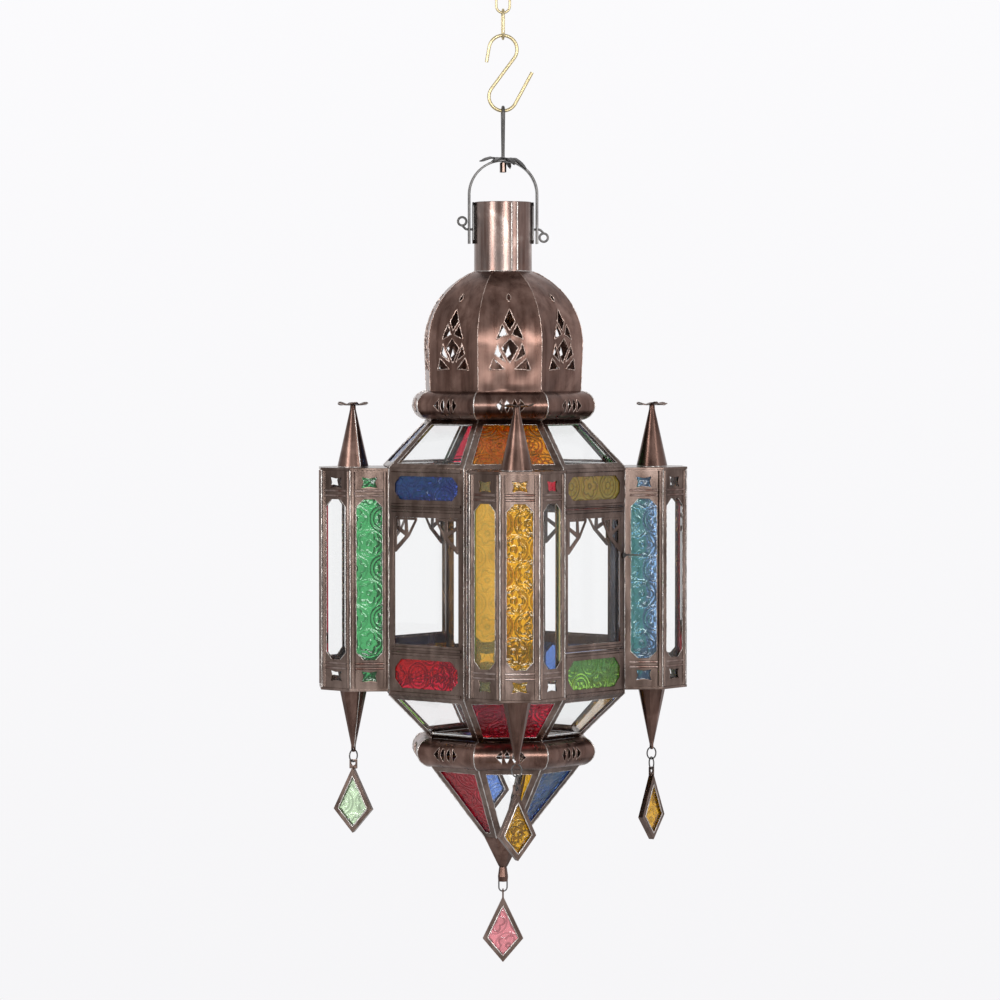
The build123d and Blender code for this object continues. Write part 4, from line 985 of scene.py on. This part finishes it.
panel_levels = [wall_top - bar_offset, frieze_foot + bar_offset, dado_top - bar_offset, wall_foot + bar_offset]
window_levels = [frieze_foot - bar_offset, dado_top + bar_offset]
door_levels = [door_head - bar_offset, door_foot + bar_offset]
wall_bars = [wall_bar(z, angle) for angle in window_angles for z in panel_levels]
wall_bars += [wall_bar(z, angle) for angle in fixed_windows for z in window_levels]
door_bars = [wall_bar(z, door_angle) for z in door_levels]
add_wires("wall_bars", wall_bars, wall_bar_radius, "lantern", copper_dark)
add_wires("door_bars", door_bars, wall_bar_radius, "door", copper_dark)
add_wires("turret_bars", bars, 0.95, "lantern", tinned)

# Tinned inner edge of each kite's frame, on both faces
tin_inset, tin_proud = 2.9, 2.0
for name, (face_turn, hang) in kites.items():
    beads = []
    for side in (-tin_proud, tin_proud):
        c, s = cos(radians(face_turn)), sin(radians(face_turn))
        centre = (hang[0] + side * c, hang[1] + side * s, hang[2])
        beads.append(bead(on_upright(face_turn, centre, denser(kite_outline(tin_inset), 1.5)), 0.05))
    add_beads(name + "_drop_tin", beads, radius=0.45, finish=solder, body=name + "_drop", closed=True)

# Solids that stay: eased edges and their finish
finishes = {"brass": brass, "dark_steel": steel, "antique_copper": copper_dark}
finishes |= {colour + "_glass": glasses[colour] for colour in (*storey_glass, "pale_green")}
slot_of = {row["node"]: row["material_slot"] for row in frame["record"]["subparts"]}
# The pendants, the bottom cap and the finial collar take the darker copy of the copper, which is painted shade
painted_shade_nodes = ("turret_pendants", "bottom_cap", "finial_collar")
weld_gap, ease_width, ease_angle = 0.002, 0.25, 40
for name, node in nodes.items():
    node.data.materials.clear()
    node.data.materials.append(painted_shade_copper if name in painted_shade_nodes else finishes[slot_of[name]])
    weld = node.modifiers.new("weld", "WELD")
    weld.merge_threshold = weld_gap * MM
    ease = node.modifiers.new("ease", "BEVEL")
    ease.width = ease_width * MM
    ease.segments = 2
    ease.limit_method = "ANGLE"
    ease.angle_limit = radians(ease_angle)

# Stage: a backdrop that is white behind the lantern and pale around it, a pale floor below and soft lamps
scene = bpy.context.scene
scene.view_settings.view_transform = "Standard"
world = bpy.data.worlds.new("studio")
scene.world = world
world.use_nodes = True
tree = world.node_tree
tree.nodes.clear()
rays = tree.nodes.new("ShaderNodeLightPath")
heading = tree.nodes.new("ShaderNodeTexCoord")
split = add_node(tree, "ShaderNodeSeparateXYZ", {0: heading.outputs["Generated"]})


def grey(level):
    return (level, 0.995 * level, 1.012 * level)


def along(axis):
    """One part of the direction, from 0 to 1."""
    spread = add_node(tree, "ShaderNodeMapRange", {"Value": split.outputs[axis], "From Min": -1.0})
    return spread.outputs["Result"]


white = ramp(tree, along("Z"), [(0.42, grey(0.925)), (0.56, grey(0.97))])
levels = [(0.0, 0.76), (0.14, 0.70), (0.33, 0.60), (0.62, 0.60), (0.80, 0.78), (0.93, 1.0)]
ahead = ramp(tree, along("Y"), [(at, (level,) * 3) for at, level in levels])
aside = ramp(tree, split.outputs["X"],
             [(0.30, (0, 0, 0)), (0.75, (0.14, 0.135, 0.145)), (1.0, (0.22, 0.212, 0.228))])
lit = blend_colours(tree, 1.0, white, ahead, "MULTIPLY")
backdrop = add_node(tree, "ShaderNodeBackground", {"Color": blend_colours(tree, 1.0, lit, aside, "ADD")})
ambient = add_node(tree, "ShaderNodeBackground", {"Color": (0.95, 0.95, 0.97, 1), "Strength": 0.45})
shown = rays.outputs["Is Camera Ray"]
for kind in ("Is Glossy Ray", "Is Transmission Ray"):
    either = tree.nodes.new("ShaderNodeMath")
    either.operation = "MAXIMUM"
    set_inputs(tree, either, {0: shown, 1: rays.outputs[kind]})
    shown = either.outputs[0]
mix = add_node(tree, "ShaderNodeMixShader", {0: shown, 1: ambient.outputs[0], 2: backdrop.outputs[0]})
add_node(tree, "ShaderNodeOutputWorld", {"Surface": mix.outputs[0]})

floor_mesh = bpy.data.meshes.new("floor")
floor_level, floor_radius = -1.75, 2.2
floor_angles = np.linspace(0, 2 * pi, 64, endpoint=False)
rim = [(floor_radius * cos(a), floor_radius * sin(a), floor_level) for a in floor_angles]
floor_mesh.from_pydata(rim, [], [list(range(len(rim)))])
floor = bpy.data.objects.new("floor", floor_mesh)
scene.collection.objects.link(floor)
floor_mesh.materials.append(material("pale_floor", roughness=0.9, colour=(0.80, 0.80, 0.81))[0])


def look_at(piece, spot, target):
    """Place a lamp or camera and point it at a target."""
    piece.location = spot
    piece.rotation_euler = (Vector(target) - Vector(spot)).to_track_quat("-Z", "Y").to_euler()
    scene.collection.objects.link(piece)


def lamp(name, spot, width, height, power, mirrored=True):
    light = bpy.data.lights.new(name, "AREA")
    light.shape = "RECTANGLE"
    light.size, light.size_y = width, height
    light.energy = power
    made = bpy.data.objects.new(name, light)
    made.visible_glossy = mirrored
    look_at(made, spot, target=(0, 0, -0.40))


lamp("key_left", (-1.6, -1.45, 0.25), width=0.5, height=1.7, power=24)
lamp("fill_right", (1.35, -1.6, 0.1), width=0.35, height=1.6, power=9)
lamp("front", (0.3, -2.9, 0.05), width=0.8, height=0.5, power=18)
lamp("top", (0.2, -0.3, 1.4), width=1.2, height=1.2, power=12, mirrored=False)

camera_data = bpy.data.cameras.new("photo_camera")
camera_data.sensor_width = 36.0
camera_data.lens = 133.7
camera_data.clip_start, camera_data.clip_end = 0.05, 50
camera = bpy.data.objects.new("photo_camera", camera_data)
aim = Vector((-0.0021, 0, -0.359))
away, azimuth, elevation = 2.6, radians(-95), radians(2.1)
toward = Vector((cos(azimuth) * cos(elevation), sin(azimuth) * cos(elevation), sin(elevation)))
look_at(camera, aim + away * toward, aim)
scene.camera = camera

bpy.context.view_layer.update()
